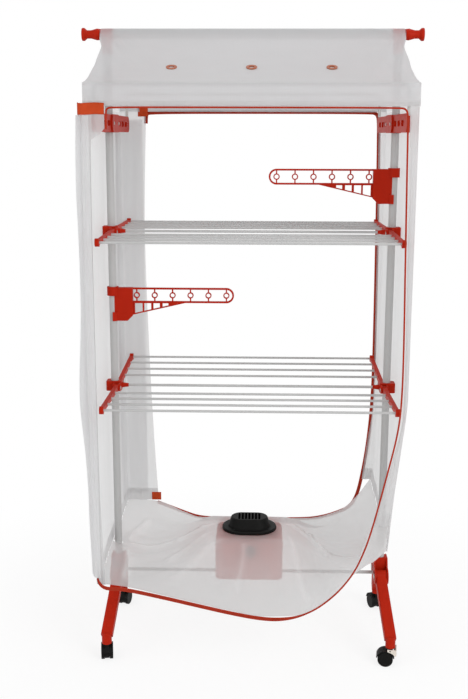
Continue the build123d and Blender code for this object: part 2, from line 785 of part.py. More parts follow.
# Leg hubs, folding legs and their pins
def leg_hub(side):
    slot = LEG_WIDTH / 2 + SEAT
    with BuildPart() as block:
        with BuildSketch(Plane.XY.offset(HUB_BOTTOM_Z)):
            with Locations((side * POST_X, 0)):
                RectangleRounded(2 * (slot + LEG_CHEEK), 2 * HUB_BLOCK_Y, LEG_HUB_CORNER)
        extrude(amount=HUB_TOP_Z - HUB_BOTTOM_Z)
        fillet(block.faces().sort_by(Axis.Z)[-1].edges(), radius=LEG_HUB_EDGE)
        for start in (-slot - LEG_CHEEK, slot):
            with BuildSketch(Plane.YZ.offset(side * POST_X + start)):
                with Locations((0, LEG_PIN_Z)):
                    SlotCenterToCenter(2 * LEG_PIN_Y, 2 * LEG_CHEEK_R)
                with Locations((0, (LEG_PIN_Z + HUB_TOP_Z) / 2)):
                    Trapezoid(
                        2 * LEG_PIN_Y + LEG_HUB_FLARE, HUB_TOP_Z - LEG_PIN_Z, LEG_HUB_SLOPE
                    )
            extrude(amount=LEG_CHEEK)
        with BuildSketch(Plane.XY.offset(POST_FOOT_Z - SEAT)):
            with Locations((side * POST_X, 0)):
                Circle(POST_OD / 2 + SEAT)
        extrude(amount=HUB_TOP_Z, mode=Mode.SUBTRACT)
        with BuildSketch(Plane.YZ.offset(side * POST_X)):
            with Locations((-LEG_PIN_Y, LEG_PIN_Z), (LEG_PIN_Y, LEG_PIN_Z)):
                Circle(LEG_PIN_D / 2 + SEAT)
        extrude(amount=LEG_WIDTH, both=True, mode=Mode.SUBTRACT)
        inner = side * (POST_X - slot - LEG_CHEEK)
        with BuildSketch(Plane.YZ.offset(inner)):
            with Locations((0, CROSSBAR_Z)):
                Circle(CROSSBAR_D / 2 + SEAT)
        extrude(amount=side * CROSSBAR_SEAT, mode=Mode.SUBTRACT)
    return block


def leg_pin(side, end):
    reach = LEG_WIDTH / 2 + SEAT + LEG_CHEEK
    with BuildPart() as pin:
        with BuildSketch(Plane.YZ.offset(side * POST_X)):
            with Locations((end * LEG_PIN_Y, LEG_PIN_Z)):
                Circle(LEG_PIN_D / 2)
        extrude(amount=reach, both=True)
        with BuildSketch(Plane.YZ.offset(side * (POST_X - reach - SEAT))):
            with Locations((end * LEG_PIN_Y, LEG_PIN_Z)):
                Circle(LEG_PIN_HEAD_R)
        extrude(amount=-side * LEG_PIN_HEAD)
        with BuildSketch(Plane.YZ.offset(side * (POST_X - reach))):
            with Locations((end * LEG_PIN_Y, LEG_PIN_Z)):
                Circle(LEG_PIN_D / 2)
        extrude(amount=-side * SEAT)
    return pin


def leg(side, end):
    """Straight between the hub's cheeks, then tapered and splayed out to the foot."""
    pivot = Vector(side * POST_X, end * LEG_PIN_Y, LEG_PIN_Z)
    foot_y = end * (LEG_FOOT_Y - LEG_AIM_IN)
    foot = Vector(side * LEG_FOOT_X, foot_y, FOOT_TOP_Z - LEG_AIM_DROP)
    along = Vector(0, foot.Y - pivot.Y, foot.Z - pivot.Z).normalized()
    knuckle = pivot + along * LEG_KNUCKLE
    with BuildPart() as piece:
        with BuildSketch(Plane(origin=pivot, x_dir=(1, 0, 0), z_dir=along)):
            RectangleRounded(LEG_WIDTH, LEG_ROOT_DEPTH, LEG_CORNER)
        extrude(amount=LEG_KNUCKLE)
        with BuildSketch(Plane(origin=knuckle, x_dir=(1, 0, 0), z_dir=along)):
            RectangleRounded(LEG_WIDTH, LEG_ROOT_DEPTH, LEG_CORNER)
        with BuildSketch(Plane(origin=foot, x_dir=(1, 0, 0), z_dir=along)):
            RectangleRounded(LEG_FOOT_WIDTH, LEG_FOOT_DEPTH, LEG_CORNER)
        loft()
        with BuildSketch(Plane.YZ.offset(side * POST_X)):
            with Locations((end * LEG_PIN_Y, LEG_PIN_Z)):
                Circle(LEG_EYE_R)
        extrude(amount=LEG_WIDTH / 2, both=True)
        with BuildSketch(Plane.XY.offset(FOOT_BOTTOM_Z)):
            with Locations((side * LEG_FOOT_X, end * LEG_FOOT_Y)):
                Circle(FOOT_BOSS_R)
        extrude(amount=FOOT_TOP_Z - FOOT_BOTTOM_Z)
        with BuildSketch(Plane.YZ.offset(side * POST_X)):
            with Locations((end * LEG_PIN_Y, LEG_PIN_Z)):
                Circle(LEG_PIN_D / 2 + RUN)
        extrude(amount=LEG_WIDTH, both=True, mode=Mode.SUBTRACT)
        with BuildSketch(Plane.XY.offset(FOOT_BOTTOM_Z)):
            with Locations((side * LEG_FOOT_X, end * LEG_FOOT_Y)):
                Circle(STEM_D / 2 + RUN)
        extrude(amount=STEM_TOP_Z + SEAT - FOOT_BOTTOM_Z, mode=Mode.SUBTRACT)
        with BuildSketch(Plane.XY.offset(0)):
            with Locations((side * LEG_FOOT_X, end * LEG_FOOT_Y)):
                Circle(4 * FOOT_BOSS_R)
        extrude(amount=FOOT_BOTTOM_Z, mode=Mode.SUBTRACT)
    return piece


write(group([leg_hub(-1), leg_hub(1)]), "leg_hubs")
write(group([leg_pin(side, end) for side in (-1, 1) for end in (-1, 1)]), "leg_pins")
for name, (side, end, turn) in CASTORS.items():
    write(leg(side, end), f"leg_{name}")


# Castors: a stemmed web and hood over two wheels on one axle
def castor_plane(side, end, turn):
    """Upright plane through the wheels' middle; its X runs along the trail."""
    origin = (side * LEG_FOOT_X, end * LEG_FOOT_Y, 0)
    trail = (cos(radians(turn)), sin(radians(turn)), 0)
    across = (sin(radians(turn)), -cos(radians(turn)), 0)
    return Plane(origin=origin, x_dir=trail, z_dir=across)


def castor_hood(side, end, turn, brake):
    """Hood, web and stem; a braked one has a cross pin through its neck."""
    middle = castor_plane(side, end, turn)
    wheel_z = WHEEL_D / 2
    wide = WEB_THICK / 2 + WHEEL_GAP + WHEEL_THICK
    with BuildPart() as hood:
        with BuildSketch(middle):
            with Locations((CASTOR_TRAIL, wheel_z)):
                Circle(HOOD_R)
                Circle(HOOD_R - HOOD_WALL, mode=Mode.SUBTRACT)
            with Locations((CASTOR_TRAIL, wheel_z - HOOD_R + HOOD_SKIRT)):
                Rectangle(3 * HOOD_R, 2 * HOOD_R, mode=Mode.SUBTRACT)
        extrude(amount=wide, both=True)
        with BuildSketch(middle):
            with Locations((CASTOR_TRAIL, wheel_z)):
                Circle(HOOD_R - HOOD_WALL - WEB_INSET)
            with Locations((CASTOR_TRAIL / 2, wheel_z + HOOD_R / 2)):
                Rectangle(CASTOR_TRAIL + NECK_WEB, HOOD_R - 2)
        extrude(amount=WEB_THICK / 2, both=True)
        with BuildSketch(Plane.XY.offset(wheel_z + HOOD_R - HOOD_WALL)):
            with Locations((side * LEG_FOOT_X, end * LEG_FOOT_Y)):
                Circle(NECK_R)
        extrude(amount=FOOT_BOTTOM_Z - SEAT - wheel_z - HOOD_R + HOOD_WALL)
        with BuildSketch(Plane.XY.offset(FOOT_BOTTOM_Z - SEAT)):
            with Locations((side * LEG_FOOT_X, end * LEG_FOOT_Y)):
                Circle(STEM_D / 2)
        extrude(amount=STEM_TOP_Z + SEAT - FOOT_BOTTOM_Z)
        with BuildSketch(middle):
            with Locations((CASTOR_TRAIL, wheel_z)):
                Circle(AXLE_D / 2 + RUN)
        extrude(amount=WEB_THICK, both=True, mode=Mode.SUBTRACT)
        if brake:
            with BuildSketch(middle):
                with Locations((0, BRAKE_PIN_Z)):
                    Circle(BRAKE_PIN_D / 2)
            extrude(amount=FOOT_BOSS_R + BRAKE_GAP + BRAKE_WALL, both=True)
    return hood


def castor_wheels(side, end, turn):
    """Two wheels and the axle that joins them, which turns in the web."""
    middle = castor_plane(side, end, turn)
    centre = (CASTOR_TRAIL, WHEEL_D / 2)
    with BuildPart() as wheels:
        for inner in (WEB_THICK / 2 + WHEEL_GAP, -WEB_THICK / 2 - WHEEL_GAP):
            outward = WHEEL_THICK if inner > 0 else -WHEEL_THICK
            with BuildSketch(middle.offset(inner)):
                with Locations(centre):
                    Circle(WHEEL_D / 2)
            extrude(amount=outward)
        rims = wheels.edges().filter_by(GeomType.CIRCLE)
        fillet(rims, radius=WHEEL_EDGE)
        with BuildSketch(middle):
            with Locations(centre):
                Circle(AXLE_D / 2)
        extrude(amount=WEB_THICK / 2 + WHEEL_GAP + WHEEL_THICK / 2, both=True)
    return wheels


for name, place in CASTORS.items():
    write(castor_hood(*place, brake=name == BRAKED), f"castor_hood_{name}")
    write(castor_wheels(*place), f"castor_wheels_{name}")


# Brake pedal: a stirrup round the foot of the leg, on the hood's cross pin
def hood_centre(press):
    """Where the hood's centre lies for the pedal when it is pressed by some degrees."""
    from_pin = Vector(CASTOR_TRAIL, WHEEL_D / 2 - BRAKE_PIN_Z).rotate(Axis.Z, -press)
    return from_pin.X, from_pin.Y + BRAKE_PIN_Z


def castor_brake(side, end, turn):
    middle = castor_plane(side, end, turn)
    trail = (cos(radians(turn)), sin(radians(turn)), 0)
    origin = (side * LEG_FOOT_X, end * LEG_FOOT_Y, BRAKE_BOTTOM_Z)
    inner = FOOT_BOSS_R + BRAKE_GAP
    with BuildPart() as pedal:
        with BuildSketch(Plane(origin=origin, x_dir=trail, z_dir=(0, 0, 1))):
            with Locations(((BRAKE_TAIL - inner - BRAKE_WALL) / 2, 0)):
                RectangleRounded(BRAKE_TAIL + inner + BRAKE_WALL, 2 * (inner + BRAKE_WALL), BRAKE_CORNER)
            with Locations((BRAKE_TAIL - inner / 2, 0)):
                Rectangle(2 * BRAKE_TAIL + inner, 2 * inner, mode=Mode.SUBTRACT)
        extrude(amount=BRAKE_HEIGHT)
        with BuildSketch(middle):
            with Locations(hood_centre(0), hood_centre(BRAKE_PRESS / 2), hood_centre(BRAKE_PRESS)):
                Circle(HOOD_R + CLOTH_GAP)
        extrude(amount=2 * inner, both=True, mode=Mode.SUBTRACT)
        with BuildSketch(middle):
            with Locations((0, BRAKE_PIN_Z)):
                Circle(BRAKE_PIN_D / 2 + RUN)
        extrude(amount=2 * inner, both=True, mode=Mode.SUBTRACT)
    return pedal


write(castor_brake(*CASTORS[BRAKED]), "castor_brake")


# Crossbar and the fan heater that it carries
crossbar_end = POST_X - LEG_WIDTH / 2 - SEAT - LEG_CHEEK + CROSSBAR_SEAT - SEAT
with BuildPart() as crossbar:
    with BuildSketch(Plane.YZ):
        with Locations((0, CROSSBAR_Z)):
            Circle(CROSSBAR_D / 2)
    extrude(amount=crossbar_end, both=True)
write(crossbar, "crossbar")

cradle_z = CROSSBAR_Z + CROSSBAR_D / 2 + SEAT
with BuildPart() as heater_cradle:
    with BuildSketch(Plane.XY.offset(cradle_z)):
        RectangleRounded(CRADLE_X, CRADLE_Y, CRADLE_CORNER)
    extrude(amount=CRADLE_PLATE)
    for x in (-SADDLE_X, SADDLE_X):
        with BuildSketch(Plane.YZ.offset(x)):
            with Locations((0, CROSSBAR_Z)):
                Circle(CROSSBAR_D / 2 + SEAT + SADDLE_WALL)
            with Locations((0, (CROSSBAR_Z + cradle_z) / 2)):
                Rectangle(2 * SADDLE_HALF_Y, cradle_z - CROSSBAR_Z)
        extrude(amount=SADDLE_WIDTH / 2, both=True)
    with BuildSketch(Plane.YZ):
        with Locations((0, CROSSBAR_Z)):
            Circle(CROSSBAR_D / 2 + SEAT)
    extrude(amount=CRADLE_X, both=True, mode=Mode.SUBTRACT)
write(heater_cradle, "heater_cradle")

base_z = cradle_z + CRADLE_PLATE + SEAT
screw_places = [(x, y) for x in (-BOSS_X, BOSS_X) for y in (-BOSS_Y, BOSS_Y)]
with BuildPart() as heater_base:
    with BuildSketch(Plane.XY.offset(base_z)):
        RectangleRounded(HEATER_X, HEATER_Y, HEATER_R)
    extrude(amount=HEATER_SPLIT_Z - base_z)
    fillet(heater_base.faces().sort_by(Axis.Z)[0].edges(), radius=HEATER_BASE_R)
    with BuildSketch(Plane.XY.offset(base_z + HEATER_WALL)):
        RectangleRounded(
            HEATER_X - 2 * HEATER_WALL, HEATER_Y - 2 * HEATER_WALL, HEATER_R - HEATER_WALL
        )
    extrude(amount=HEATER_SPLIT_Z, mode=Mode.SUBTRACT)
    with BuildSketch(Plane.XY.offset(base_z)):
        with Locations(screw_places):
            Circle(BOSS_R)
    extrude(amount=HEATER_SPLIT_Z - base_z)
    with BuildSketch(Plane.XY.offset(base_z)):
        with Locations(screw_places):
            Circle(SCREW_D / 2 + SEAT)
    extrude(amount=HEATER_SPLIT_Z - base_z, mode=Mode.SUBTRACT)
    with BuildSketch(Plane.XY.offset(base_z)):
        with Locations(screw_places):
            Circle(SCREW_HEAD_R + SEAT)
    extrude(amount=SCREW_HEAD + SEAT, mode=Mode.SUBTRACT)
    with BuildSketch(Plane.XZ):
        with Locations((0, (base_z + HEATER_SPLIT_Z) / 2)):
            with GridLocations(INTAKE_PITCH, 1, INTAKE_SLOTS, 1):
                SlotOverall(INTAKE_HEIGHT, INTAKE_WIDTH, rotation=90)
    extrude(amount=-HEATER_Y, mode=Mode.SUBTRACT)
    with BuildSketch(Plane.XZ.offset(-HEATER_Y / 2)):
        with Locations((GLAND_X, GLAND_Z)):
            Rectangle(3 * GLAND_R, INTAKE_HEIGHT + 2 * GLAND_PAD)
    extrude(amount=HEATER_WALL)
    with BuildSketch(Plane.XZ.offset(-HEATER_Y / 2)):
        with Locations((GLAND_X, GLAND_Z)):
            Circle(GLAND_R + SEAT)
    extrude(amount=HEATER_WALL, mode=Mode.SUBTRACT)
write(heater_base, "heater_base")

cover_z = HEATER_SPLIT_Z + SEAT
with BuildPart() as heater_cover:
    with BuildSketch(Plane.XY.offset(cover_z)):
        RectangleRounded(HEATER_X, HEATER_Y, HEATER_R)
    extrude(amount=HEATER_TOP_Z - cover_z)
    fillet(heater_cover.faces().sort_by(Axis.Z)[-1].edges(), radius=HEATER_TOP_R)
    with BuildSketch(Plane.XY.offset(cover_z)):
        RectangleRounded(
            HEATER_X - 2 * HEATER_WALL, HEATER_Y - 2 * HEATER_WALL, HEATER_R - HEATER_WALL
        )
    extrude(amount=HEATER_TOP_Z - HEATER_TOP_R / 2 - cover_z, mode=Mode.SUBTRACT)
    with BuildSketch(Plane.XY.offset(cover_z)):
        with Locations(screw_places):
            Circle(BOSS_R)
    extrude(amount=HEATER_TOP_Z - HEATER_TOP_R / 2 - cover_z)
    with BuildSketch(Plane.XY.offset(cover_z)):
        with Locations(screw_places):
            Circle(SCREW_D / 2 + SEAT)
    extrude(amount=SCREW_GRIP, mode=Mode.SUBTRACT)
    with BuildSketch(Plane.XY.offset(HEATER_TOP_Z)):
        SlotOverall(NECK_LONG + 2 * SEAT, NECK_WIDE + 2 * SEAT)
    extrude(amount=-HEATER_TOP_R, mode=Mode.SUBTRACT)
    with BuildSketch(Plane.XZ.offset(HEATER_Y / 2 - HEATER_WALL)):
        with Locations((KNOB_X, KNOB_Z)):
            Circle(KNOB_SHAFT_D / 2 + 1)
    extrude(amount=HEATER_WALL, mode=Mode.SUBTRACT)
write(heater_cover, "heater_cover")

with BuildPart() as heater_screws:
    with BuildSketch(Plane.XY.offset(base_z + SCREW_HEAD - SCREW_NECK)):
        with Locations(screw_places):
            Circle(SCREW_D / 2)
    extrude(amount=HEATER_SPLIT_Z + SCREW_GRIP - SEAT - base_z - SCREW_HEAD)
    with BuildSketch(Plane.XY.offset(base_z + SEAT)):
        with Locations(screw_places):
            Circle(SCREW_HEAD_R)
    extrude(amount=SCREW_HEAD - SEAT)
write(heater_screws, "heater_screws")

# Outlet: neck through the cover's floor, flange, hood and grille
flange_top = FLANGE_Z + FLANGE_THICK
mouth_long = HOOD_TOP_LONG - 2 * DUCT_WALL
mouth_wide = HOOD_TOP_WIDE - 2 * DUCT_WALL
with BuildPart() as outlet_collar:
    with BuildSketch(Plane.XY.offset(HEATER_TOP_Z - HEATER_TOP_R / 2 + SEAT)):
        SlotOverall(NECK_LONG, NECK_WIDE)
    extrude(amount=FLANGE_Z - HEATER_TOP_Z + HEATER_TOP_R / 2)
    with BuildSketch(Plane.XY.offset(FLANGE_Z)):
        SlotOverall(FLANGE_LONG, FLANGE_WIDE)
    extrude(amount=FLANGE_THICK)
    rim = outlet_collar.faces().sort_by(Axis.Z)[-1].edges()
    fillet(rim, radius=COLLAR_EDGE)
    with BuildSketch(Plane.XY.offset(flange_top)):
        SlotOverall(NECK_LONG, NECK_WIDE)
    with BuildSketch(Plane.XY.offset(HOOD_TOP_Z)):
        SlotOverall(HOOD_TOP_LONG, HOOD_TOP_WIDE)
    loft()
    fillet(outlet_collar.faces().sort_by(Axis.Z)[-1].edges(), radius=COLLAR_EDGE)
    with BuildSketch(Plane.XY.offset(HEATER_TOP_Z - HEATER_TOP_R)):
        SlotOverall(mouth_long, mouth_wide)
    extrude(amount=HOOD_TOP_Z, mode=Mode.SUBTRACT)
    with BuildSketch(Plane.XY.offset(HOOD_TOP_Z)):
        SlotOverall(mouth_long + 2 * GRILLE_LEDGE, mouth_wide + 2 * GRILLE_LEDGE)
    extrude(amount=-GRILLE_THICK - SEAT, mode=Mode.SUBTRACT)
write(outlet_collar, "outlet_collar")

with BuildPart() as outlet_grille:
    with BuildSketch(Plane.XY.offset(HOOD_TOP_Z - GRILLE_THICK)):
        SlotOverall(
            mouth_long + 2 * GRILLE_LEDGE - 2 * SEAT,
            mouth_wide + 2 * GRILLE_LEDGE - 2 * SEAT,
        )
        with GridLocations(GRILLE_PITCH, 1, GRILLE_BARS - 2, 1):
            SlotOverall(
                mouth_wide - 2 * GRILLE_RIM, GRILLE_SLOT, rotation=90, mode=Mode.SUBTRACT
            )
    extrude(amount=GRILLE_THICK)
write(outlet_grille, "outlet_grille")

# Inside the heater
with BuildPart() as heating_element:
    with BuildSketch(Plane.XY.offset(PLATE_Z)):
        RectangleRounded(
            HEATER_X - 2 * HEATER_WALL - 2 * SEAT,
            HEATER_Y - 2 * HEATER_WALL - 2 * SEAT,
            HEATER_R - HEATER_WALL,
        )
        with Locations(screw_places):
            Circle(BOSS_R + 1, mode=Mode.SUBTRACT)
    extrude(amount=PLATE_THICK)
    with BuildSketch(Plane.XY.offset(PLATE_Z + PLATE_THICK)):
        RectangleRounded(ELEMENT_X, ELEMENT_Y, ELEMENT_CORNER)
    extrude(amount=ELEMENT_H)
    with BuildSketch(Plane.XY.offset(PLATE_Z)):
        Rectangle(ELEMENT_X - 2 * ELEMENT_FRAME, ELEMENT_Y - 2 * ELEMENT_FRAME)
    extrude(amount=ELEMENT_H + PLATE_THICK, mode=Mode.SUBTRACT)
    with BuildSketch(Plane.XY.offset(PLATE_Z + PLATE_THICK)):
        with GridLocations((ELEMENT_X - 2 * ELEMENT_FRAME) / FIN_COUNT, 1, FIN_COUNT - 1, 1):
            Rectangle(FIN_THICK, ELEMENT_Y - ELEMENT_FRAME)
    extrude(amount=ELEMENT_H)
write(heating_element, "heating_element")

motor_z = base_z + HEATER_WALL + SEAT
with BuildPart() as fan_motor:
    with BuildSketch(Plane.XY.offset(motor_z)):
        Circle(MOTOR_R)
        with PolarLocations(MOTOR_R + MOTOR_EAR_OUT, MOTOR_EARS):
            Circle(MOTOR_EAR_R)
    extrude(amount=MOTOR_EAR_THICK)
    with BuildSketch(Plane.XY.offset(motor_z)):
        Circle(MOTOR_R - MOTOR_EDGE)
    extrude(amount=MOTOR_H)
    fillet(fan_motor.faces().sort_by(Axis.Z)[-1].edges(), radius=MOTOR_EDGE)
    with BuildSketch(Plane.XY.offset(motor_z + MOTOR_H)):
        Circle(MOTOR_SHAFT_D / 2)
    extrude(amount=FAN_H + 1)
write(fan_motor, "fan_motor")

fan_z = motor_z + MOTOR_H + 1
with BuildPart() as fan_rotor:
    with BuildSketch(Plane.XY.offset(fan_z)):
        Circle(FAN_HUB_R)
    extrude(amount=FAN_H)
    fillet(fan_rotor.faces().sort_by(Axis.Z)[-1].edges(), radius=FAN_HUB_EDGE)
    for i in range(FAN_BLADES):
        facing = 360 * i / FAN_BLADES
        root = Plane.YZ.rotated((0, 0, facing)).offset(FAN_HUB_R - 2)
        root.origin += Vector(0, 0, fan_z + FAN_H / 2)
        tip = Plane.YZ.rotated((0, 0, facing)).offset(FAN_TIP_R)
        tip.origin += Vector(0, 0, fan_z + FAN_H / 2)
        with BuildSketch(root):
            Rectangle(FAN_ROOT[0], FAN_ROOT[1], rotation=FAN_PITCH + FAN_ROOT[2])
        with BuildSketch(tip):
            Rectangle(FAN_TIP[0], FAN_TIP[1], rotation=FAN_PITCH + FAN_TIP[2])
        loft()
    with BuildSketch(Plane.XY.offset(fan_z - 1)):
        Circle(MOTOR_SHAFT_D / 2 + RUN)
    extrude(amount=FAN_H + 4, mode=Mode.SUBTRACT)
write(fan_rotor, "fan_rotor")

knob_y = -HEATER_Y / 2 - CLOTH_GAP
with BuildPart() as timer_knob:
    with BuildSketch(Plane.XZ.offset(-knob_y)):
        with Locations((KNOB_X, KNOB_Z)):
            Circle(KNOB_R)
            with PolarLocations(KNOB_R + KNOB_FLUTE_OUT, KNOB_FLUTES):
                Circle(KNOB_FLUTE_R, mode=Mode.SUBTRACT)
    extrude(amount=KNOB_DEPTH, taper=KNOB_TAPER)
    with BuildSketch(Plane.XZ.offset(-knob_y + KNOB_DEPTH)):
        with Locations((KNOB_X, KNOB_Z)):
            Rectangle(KNOB_POINTER, 2 * KNOB_R - 2 * KNOB_POINTER_RIM)
    extrude(amount=KNOB_POINTER_H)
    with BuildSketch(Plane.XZ.offset(-knob_y)):
        with Locations((KNOB_X, KNOB_Z)):
            Circle(KNOB_SHAFT_D / 2)
    extrude(amount=-HEATER_WALL - CLOTH_GAP - KNOB_SHAFT_IN)
write(timer_knob, "timer_knob")

with BuildPart() as timer_mechanism:
    with BuildSketch(Plane.XZ.offset(HEATER_Y / 2 - HEATER_WALL - SEAT)):
        with Locations((KNOB_X, KNOB_Z)):
            RectangleRounded(TIMER_X, TIMER_H, TIMER_CORNER)
            Circle(KNOB_SHAFT_D / 2 + RUN, mode=Mode.SUBTRACT)
    extrude(amount=-TIMER_Y)
write(timer_mechanism, "timer_mechanism")

with BuildPart() as thermal_cutout:
    with BuildSketch(Plane.XY.offset(PLATE_Z + PLATE_THICK + SEAT)):
        with Locations((ELEMENT_X / 2 + CUTOUT_R + CUTOUT_OUT, 0)):
            Circle(CUTOUT_R)
    extrude(amount=CUTOUT_H)
    with BuildSketch(Plane.XY.offset(PLATE_Z + PLATE_THICK + SEAT + CUTOUT_H)):
        with Locations((ELEMENT_X / 2 + CUTOUT_R + CUTOUT_OUT, 0)):
            Rectangle(CUTOUT_TAG[0], CUTOUT_TAG[1])
    extrude(amount=CUTOUT_TAG[2])
write(thermal_cutout, "thermal_cutout")

with BuildPart() as mains_gland:
    with BuildSketch(Plane.XZ.offset(-HEATER_Y / 2 + HEATER_WALL + GLAND_NUT)):
        with Locations((GLAND_X, GLAND_Z)):
            Circle(GLAND_R)
    extrude(amount=-HEATER_WALL - GLAND_NUT - GLAND_OUT, taper=GLAND_TAPER)
    with BuildSketch(Plane.XZ.offset(-HEATER_Y / 2 - SEAT)):
        with Locations((GLAND_X, GLAND_Z)):
            Circle(GLAND_R + GLAND_FLANGE)
    extrude(amount=-GLAND_FLANGE)
    with BuildSketch(Plane.XZ.offset(-HEATER_Y / 2 + HEATER_WALL + GLAND_NUT)):
        with Locations((GLAND_X, GLAND_Z)):
            Circle(GLAND_BORE_R)
    extrude(amount=-HEATER_WALL - GLAND_NUT - GLAND_OUT, mode=Mode.SUBTRACT)
write(mains_gland, "mains_gland")


# Cover: roof with its skirt, tented over the bar
def roof_outline(inset):
    """Outline across the roof, drawn in by the cloth's thickness for its inside."""
    ridge_r = BAR_OD / 2 + TEE_WALL + CLOTH_GAP + CLOTH - inset
    ridge_y = ridge_r * sin(radians(RIDGE_ANGLE))
    ridge_z = BAR_Z + ridge_r * cos(radians(RIDGE_ANGLE))
    eave_y = COVER_Y - inset
    eave_z = EAVE_Z - inset
    middle_z = SLOPE_MID_Z - inset
    low = HEM_Z - 20 * inset
    with BuildLine() as outline:
        Line((-eave_y, low), (-eave_y, eave_z))
        ThreePointArc((-eave_y, eave_z), (-SLOPE_MID_Y, middle_z), (-ridge_y, ridge_z))
        ThreePointArc((-ridge_y, ridge_z), (0, BAR_Z + ridge_r), (ridge_y, ridge_z))
        ThreePointArc((ridge_y, ridge_z), (SLOPE_MID_Y, middle_z), (eave_y, eave_z))
        Line((eave_y, eave_z), (eave_y, low))
        Line((eave_y, low), (-eave_y, low))
    return outline.edges()


slope = ThreePointArc(
    (-COVER_Y, EAVE_Z),
    (-SLOPE_MID_Y, SLOPE_MID_Z),
    (-(BAR_OD / 2 + TEE_WALL) * sin(radians(RIDGE_ANGLE)), BAR_Z + BAR_OD / 2),
)
rise = slope % slope.param_at_point(Vector(-SLOPE_MID_Y, SLOPE_MID_Z))
vents = [
    Plane(
        origin=(i * VENT_PITCH, -SLOPE_MID_Y, SLOPE_MID_Z),
        x_dir=(1, 0, 0),
        z_dir=(0, -rise.Y, rise.X),
    )
    for i in (-1, 0, 1)
]

with BuildPart() as cover_roof:
    with BuildSketch(Plane.YZ):
        make_face(roof_outline(0))
    extrude(amount=COVER_X, both=True)
    with BuildSketch(Plane.YZ):
        make_face(roof_outline(CLOTH))
    extrude(amount=COVER_X - CLOTH, both=True, mode=Mode.SUBTRACT)
    with BuildSketch(Plane.YZ):
        with Locations((0, BAR_Z)):
            Circle(BAR_OD / 2 + TEE_WALL + CLOTH_GAP)
    extrude(amount=COVER_X, both=True, mode=Mode.SUBTRACT)
    for vent in vents:
        with BuildSketch(vent):
            Circle(VENT_TUBE_R + CLOTH_GAP)
        extrude(amount=4 * CLOTH, both=True, mode=Mode.SUBTRACT)
write(cover_roof, "cover_roof")

with BuildPart() as vent_eyelets:
    for vent in vents:
        with BuildSketch(vent.offset(VENT_LIFT)):
            Circle(VENT_FLANGE_R)
        extrude(amount=VENT_FLANGE)
        with BuildSketch(vent.offset(-2 * CLOTH)):
            Circle(VENT_TUBE_R)
        extrude(amount=2 * CLOTH + VENT_LIFT)
        with BuildSketch(vent):
            Circle(VENT_BORE_R)
        extrude(amount=4 * CLOTH, both=True, mode=Mode.SUBTRACT)
write(vent_eyelets, "vent_eyelets")


# Side panels, which hang from the roof's skirt and turn round the corners
def side_points(level, side):
    """A panel's run in plan at one height: front strip, side with its folds, rear strip."""
    z, front, places, rear = level
    across = []
    for i, y in enumerate(SIDE_YS):
        x = places[i // 2] if i % 2 == 0 else (places[i // 2] + places[i // 2 + 1]) / 2
        across.append((side * (x + SIDE_WAVE[i]), y))
    return [(side * front, SIDE_YS[0]), *across, (side * rear, SIDE_YS[-1])]


def side_reach(levels, y, z):
    """How far out a panel is at one place, between its given heights and inside its folds."""
    for upper, lower in zip(levels, levels[1:]):
        if lower[0] <= z:
            break
    share = (z - lower[0]) / (upper[0] - lower[0])
    reach = []
    for level in (upper, lower):
        run = list(zip(SIDE_YS[::2], level[2]))
        for (y0, x0), (y1, x1) in zip(run, run[1:]):
            if y <= y1:
                break
        reach.append(x0 + (x1 - x0) * max(0, (y - y0) / (y1 - y0)))
    return reach[0] * share + reach[1] * (1 - share)


def hem_height(hem, y):
    for (y0, z0), (y1, z1) in zip(hem, hem[1:]):
        if y <= y1:
            break
    return z0 + (z1 - z0) * (y - y0) / (y1 - y0)


def side_panel(side, levels, hem):
    with BuildPart() as panel:
        for level in levels:
            with BuildSketch(Plane.XY.offset(level[0])):
                Polygon(*band(side_points(level, side), CLOTH), align=None)
        loft(ruled=True)
        with BuildSketch(Plane.YZ):
            Polygon(
                (hem[0][0] - CLOTH, hem[0][1]),
                *hem[1:-1],
                (hem[-1][0] + CLOTH, hem[-1][1]),
                (hem[-1][0] + CLOTH, 0),
                (hem[0][0] - CLOTH, 0),
                align=None,
            )
        extrude(amount=side * 2 * COVER_X, mode=Mode.SUBTRACT)
    return panel


write(side_panel(-1, LEFT_LEVELS, LEFT_HEM), "cover_side_left")
write(side_panel(1, RIGHT_LEVELS, RIGHT_HEM), "cover_side_right")


# Floor, which sags between its rims and rests under the outlet's flange
def floor_points(y, places):
    left_z = hem_height(LEFT_HEM, y) + HEM_LIFT
    right_z = hem_height(RIGHT_HEM, y) + HEM_LIFT
    left_x = side_reach(LEFT_LEVELS, y, left_z) - CLOTH - CLOTH_GAP
    right_x = side_reach(RIGHT_LEVELS, y, right_z) - CLOTH - CLOTH_GAP
    return [(-left_x, left_z), *places, (right_x, right_z)]


with BuildPart() as cover_floor:
    for y, places in FLOOR_ROWS:
        with BuildSketch(Plane.XZ.offset(-y)):
            Polygon(*band(floor_points(y, places), CLOTH), align=None)
    loft(ruled=True)
    with BuildSketch(Plane.XY):
        with Locations((-POST_X, 0), (POST_X, 0)):
            Circle(POST_HOLE_R)
        SlotOverall(NECK_LONG + 2 * CLOTH_GAP, NECK_WIDE + 2 * CLOTH_GAP)
    extrude(amount=HEM_Z, mode=Mode.SUBTRACT)
write(cover_floor, "cover_floor")


